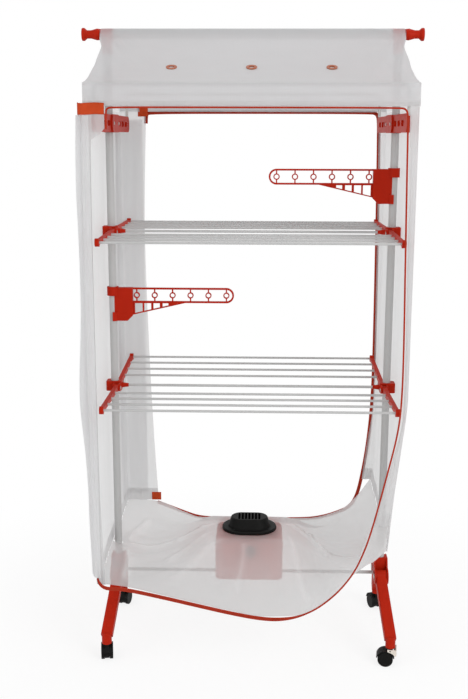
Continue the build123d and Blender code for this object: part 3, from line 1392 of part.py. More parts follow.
# Rolled doors, gathered in folds at the left corners
def door_bundle(end, strip_x):
    with BuildPart() as bundle:
        for z, inner, outer in DOOR_LEVELS:
            front_y = SIDE_YS[0] - CLOTH - CLOTH_GAP
            path = [
                (-strip_x, front_y),
                (-inner + DOOR_TURN_IN, front_y),
                (-inner - DOOR_TURN_OUT, front_y + DOOR_TURN_Y),
            ]
            for i, y in enumerate(DOOR_FOLD_YS):
                path.append((-outer if i % 2 == 0 else -inner, y))
            path = [(x, -end * y) for x, y in path]
            with BuildSketch(Plane.XY.offset(z)):
                Polygon(*band(path, CLOTH), align=None)
        loft(ruled=True)
    return bundle


write(door_bundle(-1, FRONT_DOOR_X), "door_front_bundle")
write(door_bundle(1, REAR_DOOR_X), "door_rear_bundle")


# Piping
def bends(points):
    """Radius of each corner: as large as its two runs allow, up to the piping's bends."""
    radii = []
    for before, corner, after in zip(points, points[1:], points[2:]):
        run_in = Vector(corner) - Vector(before)
        run_out = Vector(after) - Vector(corner)
        shorter = min(run_in.length, run_out.length)
        turn = run_in.get_angle(run_out)
        largest = 0.45 * shorter / tan(radians(turn / 2))
        radii.append(min(largest, PIPING_CORNER if turn > SHARP_TURN else PIPING_BEND))
    return radii


def piping(end, places):
    path = [(x, end * PIPING_Y, z) for x, z in places]
    with BuildPart() as tube:
        with BuildLine() as route:
            FilletPolyline(*path, radius=bends(path))
        with BuildSketch(Plane(origin=route.line @ 0, z_dir=route.line % 0)):
            Circle(PIPING_R)
        sweep()
    return tube


write(group([piping(-1, FRONT_PIPING), piping(1, REAR_PIPING)]), "cover_piping")

# Red tape at the front left corner and the end tabs of the rear door's zip
front_y = -COVER_Y - CLOTH
tab_y = PIPING_Y - PIPING_R - TAB_GAP
with BuildPart() as cover_tabs:
    tape = [
        (-TAPE_START_X, front_y),
        (TAPE_TURN - TAPE_CORNER_X, front_y),
        (-TAPE_CORNER_X, front_y + TAPE_TURN),
        (-TAPE_CORNER_X, -TAPE_END_Y),
    ]
    with BuildSketch(Plane.XY.offset(DOOR_LEVELS[0][0] + CLOTH_GAP)):
        Polygon(*band(tape, TAB_THICK), align=None)
    extrude(amount=TAPE_WIDE)
    with BuildSketch(Plane.XZ.offset(-tab_y)):
        with Locations(TABS):
            RectangleRounded(TAB + TAB_LONGER, TAB, TAB_CORNER)
    extrude(amount=TAB_THICK)
write(cover_tabs, "cover_tabs")
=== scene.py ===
"""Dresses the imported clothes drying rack: its finishes, the cloth cover, the floor and the light."""

import logging
import math
from dataclasses import dataclass
from enum import Enum
from typing import Any, Callable, Sequence

import bpy
import numpy as np
from mathutils import Matrix, Vector


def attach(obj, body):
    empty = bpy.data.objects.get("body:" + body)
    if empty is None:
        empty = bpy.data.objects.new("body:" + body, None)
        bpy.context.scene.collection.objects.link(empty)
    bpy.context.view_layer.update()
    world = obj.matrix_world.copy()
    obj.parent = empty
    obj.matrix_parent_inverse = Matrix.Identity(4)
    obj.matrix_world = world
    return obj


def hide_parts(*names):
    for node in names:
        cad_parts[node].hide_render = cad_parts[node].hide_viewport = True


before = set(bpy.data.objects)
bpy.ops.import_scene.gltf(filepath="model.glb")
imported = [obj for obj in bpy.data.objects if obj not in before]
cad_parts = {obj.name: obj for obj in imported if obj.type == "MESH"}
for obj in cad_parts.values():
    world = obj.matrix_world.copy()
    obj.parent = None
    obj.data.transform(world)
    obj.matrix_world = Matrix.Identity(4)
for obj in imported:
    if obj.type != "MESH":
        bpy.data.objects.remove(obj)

log = logging.getLogger("drying_rack")

Array = np.ndarray
Colour = tuple[float, float, float]
Pair = tuple[float, float]
Row = tuple[float, ...]
Route = tuple[Pair, ...]
PAPER: Colour = (0.93, 0.93, 0.93)
WHITE: Colour = (1.0, 1.0, 1.0)
TURN = 2 * math.pi
EDGE_STEPS = 2      # faces across a softened edge
SHARP_ANGLE = math.radians(50)      # an edge that turns more than this is softened


class Run(Enum):
    """Which way the threads of a cloth run."""

    UPRIGHT = "threads run up and round the sides"
    LEVEL = "threads run across and front to back"


class Look(Enum):
    """How a moulded surface was left by its tool."""

    GRAINED = "fine spark-eroded grain"
    SATIN = "smooth satin"


# Small tools for shapes


def smooth(low: float, high: float, value: Array) -> Array:
    """Smooth step from 0 at low to 1 at high, at each value."""
    share = np.clip((value - low) / (high - low), 0.0, 1.0)
    return share * share * (3.0 - 2.0 * share)


def curve_through(places: Sequence[float], values: Any, at: Any) -> Array:
    """Smooth curve through given values that never overshoots them.

    Args:
        places: Where the values are given, in order.
        values: One value for each place, or one row of values.
        at: Places at which the curve is wanted.

    Returns:
        The curve's value, or row of values, at each of those places.
    """
    p, v, at = np.asarray(places, float), np.asarray(values, float), np.asarray(at, float)
    if p[0] > p[-1]:
        p, v = p[::-1], v[::-1]
    wide = (-1,) + (1,) * (v.ndim - 1)
    step = np.diff(p)
    slope = np.diff(v, axis=0) / step.reshape(wide)
    tangent = np.zeros_like(v)
    tangent[0], tangent[-1] = slope[0], slope[-1]
    product = slope[:-1] * slope[1:]
    total = slope[:-1] + slope[1:]
    tangent[1:-1] = np.where(product > 0, 2 * product / np.where(total == 0, 1, total), 0)
    i = np.clip(np.searchsorted(p, at, side="right") - 1, 0, len(p) - 2)
    t = np.clip((at - p[i]) / step[i], 0.0, 1.0)
    h = step[i]
    if v.ndim > 1:
        t, h = t.reshape(t.shape + (1,) * (v.ndim - 1)), h.reshape(t.shape + (1,) * (v.ndim - 1))
    return (
        v[i] * (1 + 2 * t) * (1 - t) ** 2
        + tangent[i] * h * t * (1 - t) ** 2
        + v[i + 1] * t * t * (3 - 2 * t)
        + tangent[i + 1] * h * t * t * (t - 1)
    )


def link_mesh(name: str, points: Sequence[Any], faces: Sequence[Any]) -> bpy.types.Object:
    """Makes one smooth mesh object.

    Args:
        name: The piece's name.
        points: Its corners, in metres.
        faces: Its faces, as rows of corner numbers.

    Returns:
        The new object, linked to the scene.
    """
    mesh = bpy.data.meshes.new(name)
    mesh.from_pydata(points, [], faces)
    mesh.validate()
    mesh.polygons.foreach_set("use_smooth", [True] * len(mesh.polygons))
    piece = bpy.data.objects.new(name, mesh)
    bpy.context.scene.collection.objects.link(piece)
    return piece


def sheet_piece(name: str, grid: Array, keep: Array | None = None) -> bpy.types.Object:
    """Makes a cloth mesh from a grid of points.

    Args:
        name: The piece's name.
        grid: Points by row and column.
        keep: Which of the grid's cells are cloth; all of them where it is left out.

    Returns:
        The new object.
    """
    rows, columns = grid.shape[:2]
    number = np.arange(rows * columns).reshape(rows, columns)
    cells = np.stack([number[:-1, :-1], number[:-1, 1:], number[1:, 1:], number[1:, :-1]], -1)
    faces = cells.reshape(-1, 4) if keep is None else cells[keep]
    used, renumbered = np.unique(faces, return_inverse=True)
    points = grid.reshape(-1, 3)[used]
    return link_mesh(name, points.tolist(), renumbered.reshape(faces.shape).tolist())


def join_pieces(name: str, pieces: Sequence[bpy.types.Object]) -> bpy.types.Object:
    """Joins several meshes into one piece.

    Args:
        name: The joined piece's name.
        pieces: The meshes that it takes in.

    Returns:
        The joined piece.
    """
    points, faces = [], []
    for piece in pieces:
        faces += [[len(points) + i for i in p.vertices] for p in piece.data.polygons]
        points += [tuple(v.co) for v in piece.data.vertices]
        bpy.data.objects.remove(piece)
    return link_mesh(name, points, faces)


# Small tools for materials


def math_node(operation: str) -> Callable[..., "Signal"]:
    """Makes a method of a signal that adds one Math node.

    Args:
        operation: The node's operation.

    Returns:
        The method, which takes the operation's second value where it has one.
    """

    def method(first: "Signal", second: Any = 0.0) -> "Signal":
        """Adds the node to the first signal's material."""
        sockets = {0: first, 1: second}
        return first.maker.node("ShaderNodeMath", sockets, operation=operation)["Value"]

    return method


class Signal:
    """A value, colour or vector on its way through a material's nodes."""

    __add__ = __radd__ = math_node("ADD")
    __sub__ = math_node("SUBTRACT")
    __mul__ = math_node("MULTIPLY")
    __pow__ = math_node("POWER")
    sine = math_node("SINE")
    size = math_node("ABSOLUTE")
    larger = math_node("MAXIMUM")

    def __init__(self, maker: "MaterialMaker", socket: bpy.types.NodeSocket) -> None:
        """Wraps one output socket of the maker's tree."""
        self.maker = maker
        self.socket = socket

    def ribs(self, spacing: float) -> "Signal":
        """Rounded ribs from 0 to 1, that far apart along this value."""
        return (self * (math.pi / spacing)).sine().size()

    def step(self, low: float, high: float) -> "Signal":
        """Smooth step from 0 at low to 1 at high."""
        sockets = {"Value": self, "From Min": low, "From Max": high}
        return self.maker.node("ShaderNodeMapRange", sockets, interpolation_type="SMOOTHSTEP")["Result"]


class MaterialMaker:
    """Builds the nodes of one material or world."""

    def __init__(self, name: str, library: str = "materials") -> None:
        """Starts an empty material or world.

        Args:
            name: The new block's name.
            library: Where it is kept: "materials" or "worlds".
        """
        self.block = getattr(bpy.data, library).new(name)
        self.block.use_nodes = True
        self.tree = self.block.node_tree
        self.tree.nodes.clear()

    def feed(self, made: bpy.types.Node, sockets: dict[int | str, Any]) -> None:
        """Links signals to a node's inputs and sets its plain values and colours.

        Args:
            made: The node.
            sockets: Values or signals for its inputs, by name or number.
        """
        for key, value in sockets.items():
            socket = made.inputs[key]
            if isinstance(value, Signal):
                self.tree.links.new(value.socket, socket)
            else:
                socket.default_value = (*value, 1.0) if socket.type == "RGBA" else value

    def node(self, kind: str, sockets: dict[int | str, Any], **settings: Any) -> dict[str, Signal]:
        """Adds one node.

        Args:
            kind: The node's type.
            sockets: Values or signals for its inputs, by name or number.
            settings: Its settings, made before its inputs are fed.

        Returns:
            Its outputs by name.
        """
        made = self.tree.nodes.new(kind)
        for key, value in settings.items():
            setattr(made, key, value)
        self.feed(made, sockets)
        return {s.name: Signal(self, s) for s in made.outputs if s.enabled}

    def place(self) -> Signal:
        """Place on the object, in metres."""
        return self.node("ShaderNodeTexCoord", {})["Object"]

    def axes(self) -> tuple[Signal, Signal, Signal]:
        """The place's X, Y and Z, in metres."""
        split = self.node("ShaderNodeSeparateXYZ", {0: self.place()})
        return split["X"], split["Y"], split["Z"]

    def seen(self) -> Signal:
        """1 for a ray that shows the surface to the camera, also by way of a shine or a glass."""
        rays = self.node("ShaderNodeLightPath", {})
        return rays["Is Camera Ray"].larger(rays["Is Glossy Ray"].larger(rays["Is Transmission Ray"]))

    def mix(self, share: Any, first: Signal, second: Signal) -> Signal:
        """Shader between two others: the first one at a share of 0."""
        return self.node("ShaderNodeMixShader", {0: share, 1: first, 2: second})["Shader"]

    def noise(self, size: float, detail: float = 3.0, stretch: Colour = (1, 1, 1)) -> Signal:
        """Cloudy noise from 0 to 1.

        Args:
            size: Size of its blotches, in metres.
            detail: How many finer layers it has.
            stretch: How much longer the blotches are along each axis.

        Returns:
            The noise.
        """
        scale = tuple(1.0 / (size * s) for s in stretch)
        moved = self.node("ShaderNodeVectorMath", {0: self.place(), 1: scale}, operation="MULTIPLY")
        sockets = {"Vector": moved["Vector"], "Scale": 1.0, "Detail": detail}
        made = self.node("ShaderNodeTexNoise", sockets)
        return made["Factor"] if "Factor" in made else made["Fac"]

    def between(self, share: Any, low: Any, high: Any) -> Signal:
        """Colour between two others.

        Args:
            share: 0 for the low colour and 1 for the high one.
            low: First colour.
            high: Second colour.

        Returns:
            The mixed colour.
        """
        made = self.tree.nodes.new("ShaderNodeMix")
        made.data_type = "RGBA"
        self.feed(made, {0: share, 6: low, 7: high})
        return Signal(self, made.outputs[2])

    def relief(self, height: Signal, depth: float, strength: float = 1.0) -> Signal:
        """Surface normal of a relief that is that many metres deep from height 0 to 1."""
        sockets = {"Height": height, "Distance": depth, "Strength": strength}
        return self.node("ShaderNodeBump", sockets)["Normal"]

    def finish(self, through: float = 0.0, **sockets: Any) -> bpy.types.Material:
        """Closes the material with a Principled shader.

        Args:
            through: Share of the light that a thin cloth lets through, spread softly.
            sockets: Its inputs, with a double underscore for a space in the name.

        Returns:
            The material.
        """
        named = {k.replace("__", " "): v for k, v in sockets.items()}
        shader = self.node("ShaderNodeBsdfPrincipled", named)["BSDF"]
        if through > 0:
            soft = self.node("ShaderNodeBsdfTranslucent", {"Color": PAPER})["BSDF"]
            shader = self.mix(through, shader, soft)
        self.node("ShaderNodeOutputMaterial", {"Surface": shader})
        return self.block


def shade(colour: Colour, factor: float, lift: float = 0.0) -> Colour:
    """A darker or paler colour: each channel times the factor, then raised by the lift."""
    return tuple(min(1.0, c * factor + lift) for c in colour)


# Finishes


@dataclass(frozen=True)
class MouldedPlastic:
    """Injection-moulded polypropylene with its grain, flow marks and handling scuffs."""

    name: str
    colour: Colour
    look: Look = Look.SATIN
    roughness: float = 0.42
    gloss: float = 0.2

    def build(self) -> bpy.types.Material:
        """Builds the material.

        Returns:
            The material.
        """
        m = MaterialMaker(self.name)
        grained = self.look is Look.GRAINED
        flow = m.noise(0.045, 2.0, (1.0, 1.0, 2.4))
        scuff = m.noise(0.006, 4.0, (5.0, 1.0, 1.0)).step(0.62, 0.74)
        grain = m.noise(0.0009 if grained else 0.0022, 2.0)
        colour = m.between(flow, shade(self.colour, 0.86), shade(self.colour, 1.1, 0.001))
        return m.finish(
            Base__Color=m.between(scuff * 0.35, colour, shade(self.colour, 1.12, 0.008)),
            Roughness=self.roughness + (flow - 0.5) * 0.1 + scuff * 0.16,
            Normal=m.relief(grain, 0.00016 if grained else 0.00005, 0.5),
            Specular__IOR__Level=self.gloss,
        )


@dataclass(frozen=True)
class PowderCoat:
    """White powder coat over steel tube, with its faint orange peel and rubbed marks."""

    name: str
    colour: Colour
    roughness: float = 0.34

    def build(self) -> bpy.types.Material:
        """Builds the material.

        Returns:
            The material.
        """
        m = MaterialMaker(self.name)
        peel = m.noise(0.0016, 2.0)
        cloud = m.noise(0.09, 2.0)
        rub = m.noise(0.004, 3.0, (1.0, 1.0, 9.0)).step(0.64, 0.78)
        colour = m.between(cloud, shade(self.colour, 0.93), self.colour)
        return m.finish(
            Base__Color=m.between(rub * 0.3, colour, shade(self.colour, 0.8)),
            Roughness=self.roughness + peel * 0.08 + rub * 0.18,
            Normal=m.relief(peel, 0.00006, 0.6),
            Coat__Weight=0.15,
        )


@dataclass(frozen=True)
class PlatedSteel:
    """Bright zinc plate or bare aluminium, drawn along one axis."""

    name: str
    colour: Colour
    drawn: Colour = (14.0, 1.0, 1.0)
    roughness: float = 0.3

    def build(self) -> bpy.types.Material:
        """Builds the material.

        Returns:
            The material.
        """
        m = MaterialMaker(self.name)
        lines = m.noise(0.0012, 3.0, self.drawn)
        stain = m.noise(0.02, 3.0)
        return m.finish(
            Base__Color=m.between(
                stain.step(0.45, 0.75) * 0.6, self.colour, shade(self.colour, 0.78)
            ),
            Metallic=1.0,
            Roughness=self.roughness + lines * 0.16 + stain * 0.1,
            Normal=m.relief(lines, 0.00004),
        )


@dataclass(frozen=True)
class CoverCloth:
    """Translucent woven cover cloth with a ripstop grid, creases and soft crumples."""

    name: str
    run: Run
    colour: Colour = (0.66, 0.66, 0.665)
    opacity: float = 0.8
    grid: float = 0.0032
    crumple: float = 0.0022
    through: float = 0.4
    crest_highlights: bool = False

    def build(self) -> bpy.types.Material:
        """Builds the material.

        Returns:
            The material.
        """
        m = MaterialMaker(self.name)
        x, y, z = m.axes()
        warp, weft = (x + y, z) if self.run is Run.UPRIGHT else (x, y + z)
        threads = (warp.ribs(self.grid) ** 6.0).larger(weft.ribs(self.grid) ** 6.0)
        along = (1.0, 1.0, 4.5) if self.run is Run.UPRIGHT else (1.8, 1.0, 1.0)
        drape_and_shade = m.noise(0.04, 3.0, along)
        cloud = m.noise(0.12, 2.0, along)
        crinkle = m.noise(0.011, 3.0, (1.0, 1.0, 1.8))
        # The colour darkens where the drape's relief is low: painted shade in the hollows of the
        # cloth's folds.
        colour = m.between(drape_and_shade, shade(self.colour, 0.92), self.colour)
        seen = 1.0 - (1.0 - self.opacity) / (1.0 - self.through)
        cover = threads * 0.06 + (cloud - 0.5) * 0.1 + seen
        # Painted highlight: along the floor's fold crests the colour is paled towards PAPER, and the
        # cloth is made more opaque there.
        if self.crest_highlights:
            crest = m.node("ShaderNodeAttribute", {}, attribute_name="crest")["Fac"]
            colour = m.between(crest, colour, PAPER)
            cover = cover + crest * 0.25
        height = drape_and_shade * 0.8 + crinkle * 0.1 + threads * 0.012
        return m.finish(
            through=self.through,
            Base__Color=colour,
            Roughness=crinkle * 0.08 + 0.5,
            Alpha=cover,
            Normal=m.relief(height, self.crumple, 0.8),
            Sheen__Weight=0.1,
            Specular__IOR__Level=0.3,
        )


@dataclass(frozen=True)
class HemCloth:
    """The cover's cloth where it is folded double and sewn, with two rows of stitches."""

    name: str
    colour: Colour = (0.66, 0.65, 0.65)
    opacity: float = 0.86
    stitch: float = 0.0042

    def build(self) -> bpy.types.Material:
        """Builds the material.

        Returns:
            The material.
        """
        m = MaterialMaker(self.name)
        x, y, z = m.axes()
        stitches = (x + y + z * 0.35).ribs(self.stitch).step(0.35, 0.6)
        pucker_and_shade = m.noise(0.007, 2.0, (1.0, 1.0, 2.0))
        # The colour darkens where the puckers' relief is low: painted shade in their hollows.
        colour = m.between(pucker_and_shade, shade(self.colour, 0.88), self.colour)
        return m.finish(
            through=0.4,
            Base__Color=colour,
            Roughness=pucker_and_shade * 0.1 + 0.5,
            Alpha=self.opacity,
            Specular__IOR__Level=0.3,
            Normal=m.relief(pucker_and_shade * 0.8 + stitches * 0.2, 0.0008, 0.8),
            Sheen__Weight=0.15,
        )


@dataclass(frozen=True)
class WovenTape:
    """Red woven tape or piping cord with its ribs and a row of stitches."""

    name: str
    colour: Colour = (0.42, 0.03, 0.009)
    rib: float = 0.0014

    def build(self) -> bpy.types.Material:
        """Builds the material.

        Returns:
            The material.
        """
        m = MaterialMaker(self.name)
        x, y, z = m.axes()
        ribs = (x + y + z).ribs(self.rib)
        fade = m.noise(0.03, 3.0)
        fuzz = m.noise(0.0012, 2.0)
        colour = m.between(fade, shade(self.colour, 0.7), shade(self.colour, 1.2, 0.01))
        colour = m.between(ribs * 0.3, colour, self.colour)
        return m.finish(
            Base__Color=colour,
            Roughness=0.72 + fuzz * 0.16,
            Normal=m.relief(ribs * 0.7 + fuzz * 0.3, 0.00035, 0.8),
            Sheen__Weight=0.04,
            Specular__IOR__Level=0.1,
        )


RED = MouldedPlastic("red_moulding", (0.45, 0.016, 0.003), Look.GRAINED, 0.46, 0.08)
DARK_RED = MouldedPlastic("heater_red", (0.5, 0.03, 0.008), Look.SATIN, 0.42, 0.15)
BLACK = MouldedPlastic("black_moulding", (0.006, 0.006, 0.0056), Look.GRAINED, 0.52, 0.1)
PALE = MouldedPlastic("pale_moulding", (0.78, 0.72, 0.64), Look.SATIN, 0.4)
FAN_GREY = MouldedPlastic("fan_grey", (0.04, 0.041, 0.044), Look.SATIN, 0.42)
EYELET = MouldedPlastic("eyelet_moulding", (0.36, 0.09, 0.03))
# The posts' and rods' white coats are set to a mid grey: painted shade for the shade they stand in
# inside the cover.
TUBE = PowderCoat("white_tube_coat", (0.5, 0.5, 0.495))
ROD = PowderCoat("white_rod_coat", (0.5, 0.5, 0.497), 0.32)
ZINC = PlatedSteel("zinc_plate", (0.6, 0.6, 0.58))
FINS = PlatedSteel("bare_aluminium", (0.74, 0.75, 0.76), (1.0, 9.0, 1.0), 0.34)
HEM = HemCloth("cover_hem")


class Wardrobe:
    """Keeps each finish once it is built, so that pieces share it."""

    def __init__(self) -> None:
        """Starts empty."""
        self._built: dict[str, bpy.types.Material] = {}

    def get(self, finish: Any) -> bpy.types.Material:
        """Finds the finish's material, or builds it the first time.

        Args:
            finish: The finish.

        Returns:
            Its material.
        """
        if finish.name not in self._built:
            self._built[finish.name] = finish.build()
        return self._built[finish.name]

    def dress_node(self, node: str, finish: Any, soften: float = 0.0) -> None:
        """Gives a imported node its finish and, where asked, softened edges.

        Args:
            node: The node's name.
            finish: Its finish.
            soften: Width of the bevel on its edges, in metres; none at 0.
        """
        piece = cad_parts[node]
        piece.data.materials.clear()
        piece.data.materials.append(self.get(finish))
        if soften > 0:
            bevel = piece.modifiers.new("soft_edges", "BEVEL")
            bevel.width = soften
            bevel.segments = EDGE_STEPS
            bevel.limit_method = "ANGLE"
            bevel.angle_limit = SHARP_ANGLE
            bevel.harden_normals = True
        log.info("dressed %s in %s", node, finish.name)

    def dress_piece(
        self, piece: bpy.types.Object, finish: Any
    ) -> None:
        """Gives a new piece its finish, and lets it ride on the frame.

        Args:
            piece: The new piece.
            finish: Its finish.
        """
        piece.data.materials.append(self.get(finish))
        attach(piece, "frame")
        log.info("made %s in %s", piece.name, finish.name)


# Rigid sub-assemblies


Looks = tuple[tuple[Any, float, tuple[str, ...]], ...]


@dataclass(frozen=True)
class RigidParts:
    """A rigid sub-assembly, with the finish and the softened edge of its nodes."""

    looks: Looks = ()

    def dress(self, wardrobe: Wardrobe) -> None:
        """Gives each node its finish.

        Args:
            wardrobe: Where the finishes come from.
        """
        for finish, edge, nodes in self.looks:
            for node in nodes:
                wardrobe.dress_node(node, finish, edge)


LEVELS = ("lower", "upper")
WINGS = tuple(f"{level}_{place}" for level in LEVELS for place in ("front", "rear"))
CORNERS = ("front_left", "front_right", "rear_left", "rear_right")


@dataclass(frozen=True)
class PostsAndBar(RigidParts):
    """The two posts, the top bar and the mouldings on it."""

    looks: Looks = (
        (TUBE, 0.0, ("post_left", "post_right", "top_bar")),
        (RED, 0.0005, ("bar_tees", "bar_caps")),
    )


@dataclass(frozen=True)
class Shelves(RigidParts):
    """The hubs, folding wings, middle rods and fold pins of both shelves."""

    looks: Looks = (
        (RED, 0.0006, (*(f"shelf_hubs_{level}" for level in LEVELS), *(f"{w}_arms" for w in WINGS))),
        (ROD, 0.0, (*(f"{wing}_rods" for wing in WINGS), "centre_rods")),
        (ZINC, 0.0, ("arm_pins",)),
    )


@dataclass(frozen=True)
class CanopyFrame(RigidParts):
    """The canopy's hubs, slotted arms and bent rods."""

    looks: Looks = (
        (RED, 0.0006, ("canopy_hubs", "canopy_arms")),
        (ZINC, 0.0, ("roof_bows",)),
    )


@dataclass(frozen=True)
class HangerArms(RigidParts):
    """The two swivelling arms with their rings."""

    looks: Looks = (
        (RED, 0.0004, ("hanger_arm_left", "hanger_arm_right")),
    )


@dataclass(frozen=True)
class LegsAndCastors(RigidParts):
    """Leg hubs, folding legs, their pins, and the castors with the brake pedal."""

    looks: Looks = (
        (RED, 0.0008, ("leg_hubs", *(f"leg_{corner}" for corner in CORNERS))),
        (ZINC, 0.0, ("leg_pins",)),
        (TUBE, 0.0, ("crossbar",)),
        (BLACK, 0.0004, tuple(f"castor_hood_{corner}" for corner in CORNERS)),
        (BLACK, 0.0, tuple(f"castor_wheels_{corner}" for corner in CORNERS)),
        (PALE, 0.0004, ("castor_brake",)),
    )


@dataclass(frozen=True)
class FanHeater(RigidParts):
    """The heater's housing, outlet and the working parts inside it."""

    looks: Looks = (
        (DARK_RED, 0.0006, ("heater_base", "heater_cover")),
        (BLACK, 0.0003,
         ("heater_cradle", "outlet_collar", "outlet_grille", "mains_gland", "timer_knob")),
        (ZINC, 0.0, ("heater_screws", "fan_motor", "thermal_cutout")),
        (FINS, 0.0, ("heating_element",)),
        (FAN_GREY, 0.0, ("fan_rotor",)),
        (PALE, 0.0, ("timer_mechanism",)),
    )


@dataclass(frozen=True)
class VentEyelets(RigidParts):
    """The three moulded vents in the roof."""

    looks: Looks = (
        (EYELET, 0.0003, ("vent_eyelets",)),
    )


# The cover


@dataclass
class RoofCover:
    """The roof: one sheet from hem to hem over the bar, a gable at each end, and hems."""

    half_width: float = 0.3724
    half_depth: float = 0.2994
    hem_z: float = 1.422
    eave_z: float = 1.4724
    slope_mid: Pair = (0.150, 1.5124)
    bar_z: float = 1.601
    ridge_r: float = 0.0140
    ridge_angle: float = 50.0
    hem_depth: float = 0.011
    columns: int = 190
    slope_points: int = 90
    profile_points: int = 300
    flat: Pair = (0.746, 0.815)
    gable_flat: Pair = (0.6, 0.19)
    gable_area: float = 0.0575

    def slope(self) -> Array:
        """Follows the sagging slope from the eave to the ridge.

        Returns:
            Points on an arc, as depth and height.
        """
        turn = math.radians(self.ridge_angle)
        a = np.array([self.half_depth, self.eave_z])
        b = np.array(self.slope_mid)
        c = np.array([self.ridge_r * math.sin(turn), self.bar_z + self.ridge_r * math.cos(turn)])
        matrix = 2 * np.array([b - a, c - a])
        centre = np.linalg.solve(matrix, [b @ b - a @ a, c @ c - a @ a])
        start = math.atan2(*(a - centre)[::-1])
        end = math.atan2(*(c - centre)[::-1])
        end += TURN * round((start - end) / TURN)
        radius = np.linalg.norm(a - centre)
        angles = np.linspace(start, end, self.slope_points)
        return centre + radius * np.stack([np.cos(angles), np.sin(angles)], -1)

    def profile(self) -> Array:
        """Follows the roof from the front hem over the bar to the rear hem.

        Returns:
            Evenly spaced points, as depth and height.
        """
        slope = self.slope()
        turn = math.radians(self.ridge_angle)
        over = np.linspace(turn, -turn, 15)[1:-1]
        ridge = np.stack([np.sin(over), np.cos(over)], -1) * self.ridge_r + [0, self.bar_z]
        skirt = np.array([[self.half_depth, z] for z in np.linspace(self.hem_z, self.eave_z, 20)])
        half = np.vstack([skirt[:-1], slope])
        other = half[::-1] * [-1, 1]
        line = np.vstack([half, ridge, other]) * [-1, 1]
        length = np.concatenate([[0], np.cumsum(np.linalg.norm(np.diff(line, axis=0), axis=1))])
        even = np.linspace(0, length[-1], self.profile_points)
        points = np.stack([np.interp(even, length, line[:, i]) for i in (0, 1)], -1)
        eave = np.abs(np.abs(points[:, 0]) - self.half_depth) + np.abs(points[:, 1] - self.eave_z)
        kernel = np.hanning(11)
        kernel /= kernel.sum()
        padded = np.vstack([np.repeat(points[:1], 5, 0), points, np.repeat(points[-1:], 5, 0)])
        soft = np.stack([np.convolve(padded[:, i], kernel, "valid") for i in (0, 1)], -1)
        near = (1 - smooth(0.012, 0.03, eave))[:, None]
        return points * (1 - near) + soft * near

    def side_pull(self, height: Array, depth: Array, side: int) -> Array:
        """How far the gable's seam is drawn in.

        Args:
            height: Heights on the seam, in metres.
            depth: Depths on the seam, in metres.
            side: -1 for the left gable and 1 for the right one.

        Returns:
            The distance at each place, in metres.
        """
        up = smooth(self.eave_z + 0.01, self.eave_z + 0.1, height)
        down = 1 - smooth(self.bar_z - 0.035, self.bar_z - 0.008, height)
        wave = 0.5 + 0.5 * np.sin(depth * 52 + side * 1.3) * np.cos(depth * 21 - side)
        return up * down * (0.003 + 0.0055 * wave)

    def crumple(self, x: Array, y: Array) -> Array:
        """Height of the creases that run from the ridge's ends and along the eaves.

        Args:
            x: Places across, in metres.
            y: Places front to back, in metres.

        Returns:
            The height at each place, in metres.
        """
        total = np.zeros_like(x)
        for side in (-1, 1):
            across = (side * self.half_width - x) * side
            angle = np.arctan2(across + 0.01, np.abs(y) + 0.02)
            far = np.hypot(across, np.abs(y))
            fan = np.sin(angle * 23 + np.sign(y) * 1.7 + side) * np.sin(far * 31 + side * 0.6)
            total += 0.0014 * fan * np.exp(-((across / 0.1) ** 2)) * smooth(0.02, 0.08, far)
        total += 0.0007 * np.sin(x * 17 + 2.1 * np.sin(y * 13)) * np.sin(y * 23 + x * 3.3)
        total += 0.0003 * np.sin(x * 51 + y * 23) * np.sin(y * 43 - x * 17 + 1.1)
        clear = smooth(0.012, 0.04, np.abs(y)) * (1 - smooth(0.24, 0.27, np.abs(y)))
        return total * np.maximum(clear, 0.15 * smooth(0.02, 0.05, np.abs(y)))

    def build(self, wardrobe: Wardrobe) -> None:
        """Makes the roof's pieces and dresses them.

        Args:
            wardrobe: Where the finishes come from.
        """
        profile = self.profile()
        step = np.gradient(profile, axis=0)
        normal = np.stack([-step[:, 1], step[:, 0]], -1)
        normal /= np.linalg.norm(normal, axis=1)[:, None]
        share = np.linspace(-1, 1, self.columns)
        y, z = profile[:, :1], profile[:, 1:]
        left = self.half_width - self.side_pull(z, y, -1)
        right = self.half_width - self.side_pull(z, y, 1)
        x = np.where(share < 0, share * left, share * right)
        wide_y = np.broadcast_to(y, x.shape)
        lift = self.crumple(x, wide_y)
        skirt = z < self.eave_z - 0.012
        swing = 0.0011 * np.sin(x * 17 + np.sign(y)) + 0.0008 * np.sin(x * 43 + z * 60)
        inward = np.where(skirt, np.sign(y) * -1.0 * (0.0019 + swing), 0.0)
        inward = inward * (1 - smooth(self.eave_z - 0.035, self.eave_z - 0.012, z))
        ends = smooth(0.0, 0.02, self.half_width - np.abs(x))
        out = normal[:, :1] * lift + inward * ends
        grid = np.stack([x, wide_y + out, z + normal[:, 1:] * lift], -1)
        roof = sheet_piece("roof_cloth", grid)
        gables = [self.gable(side) for side in (-1, 1)]
        hems = self.hems(grid)
        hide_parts("cover_roof")
        finish = CoverCloth("roof_weave", Run.LEVEL, (0.62, 0.625, 0.64), 0.86, crumple=0.0020)
        wardrobe.dress_piece(roof, finish)
        for gable in gables:
            wardrobe.dress_piece(gable, CoverCloth("gable_weave", Run.UPRIGHT))
        for hem in hems:
            wardrobe.dress_piece(hem, HEM)

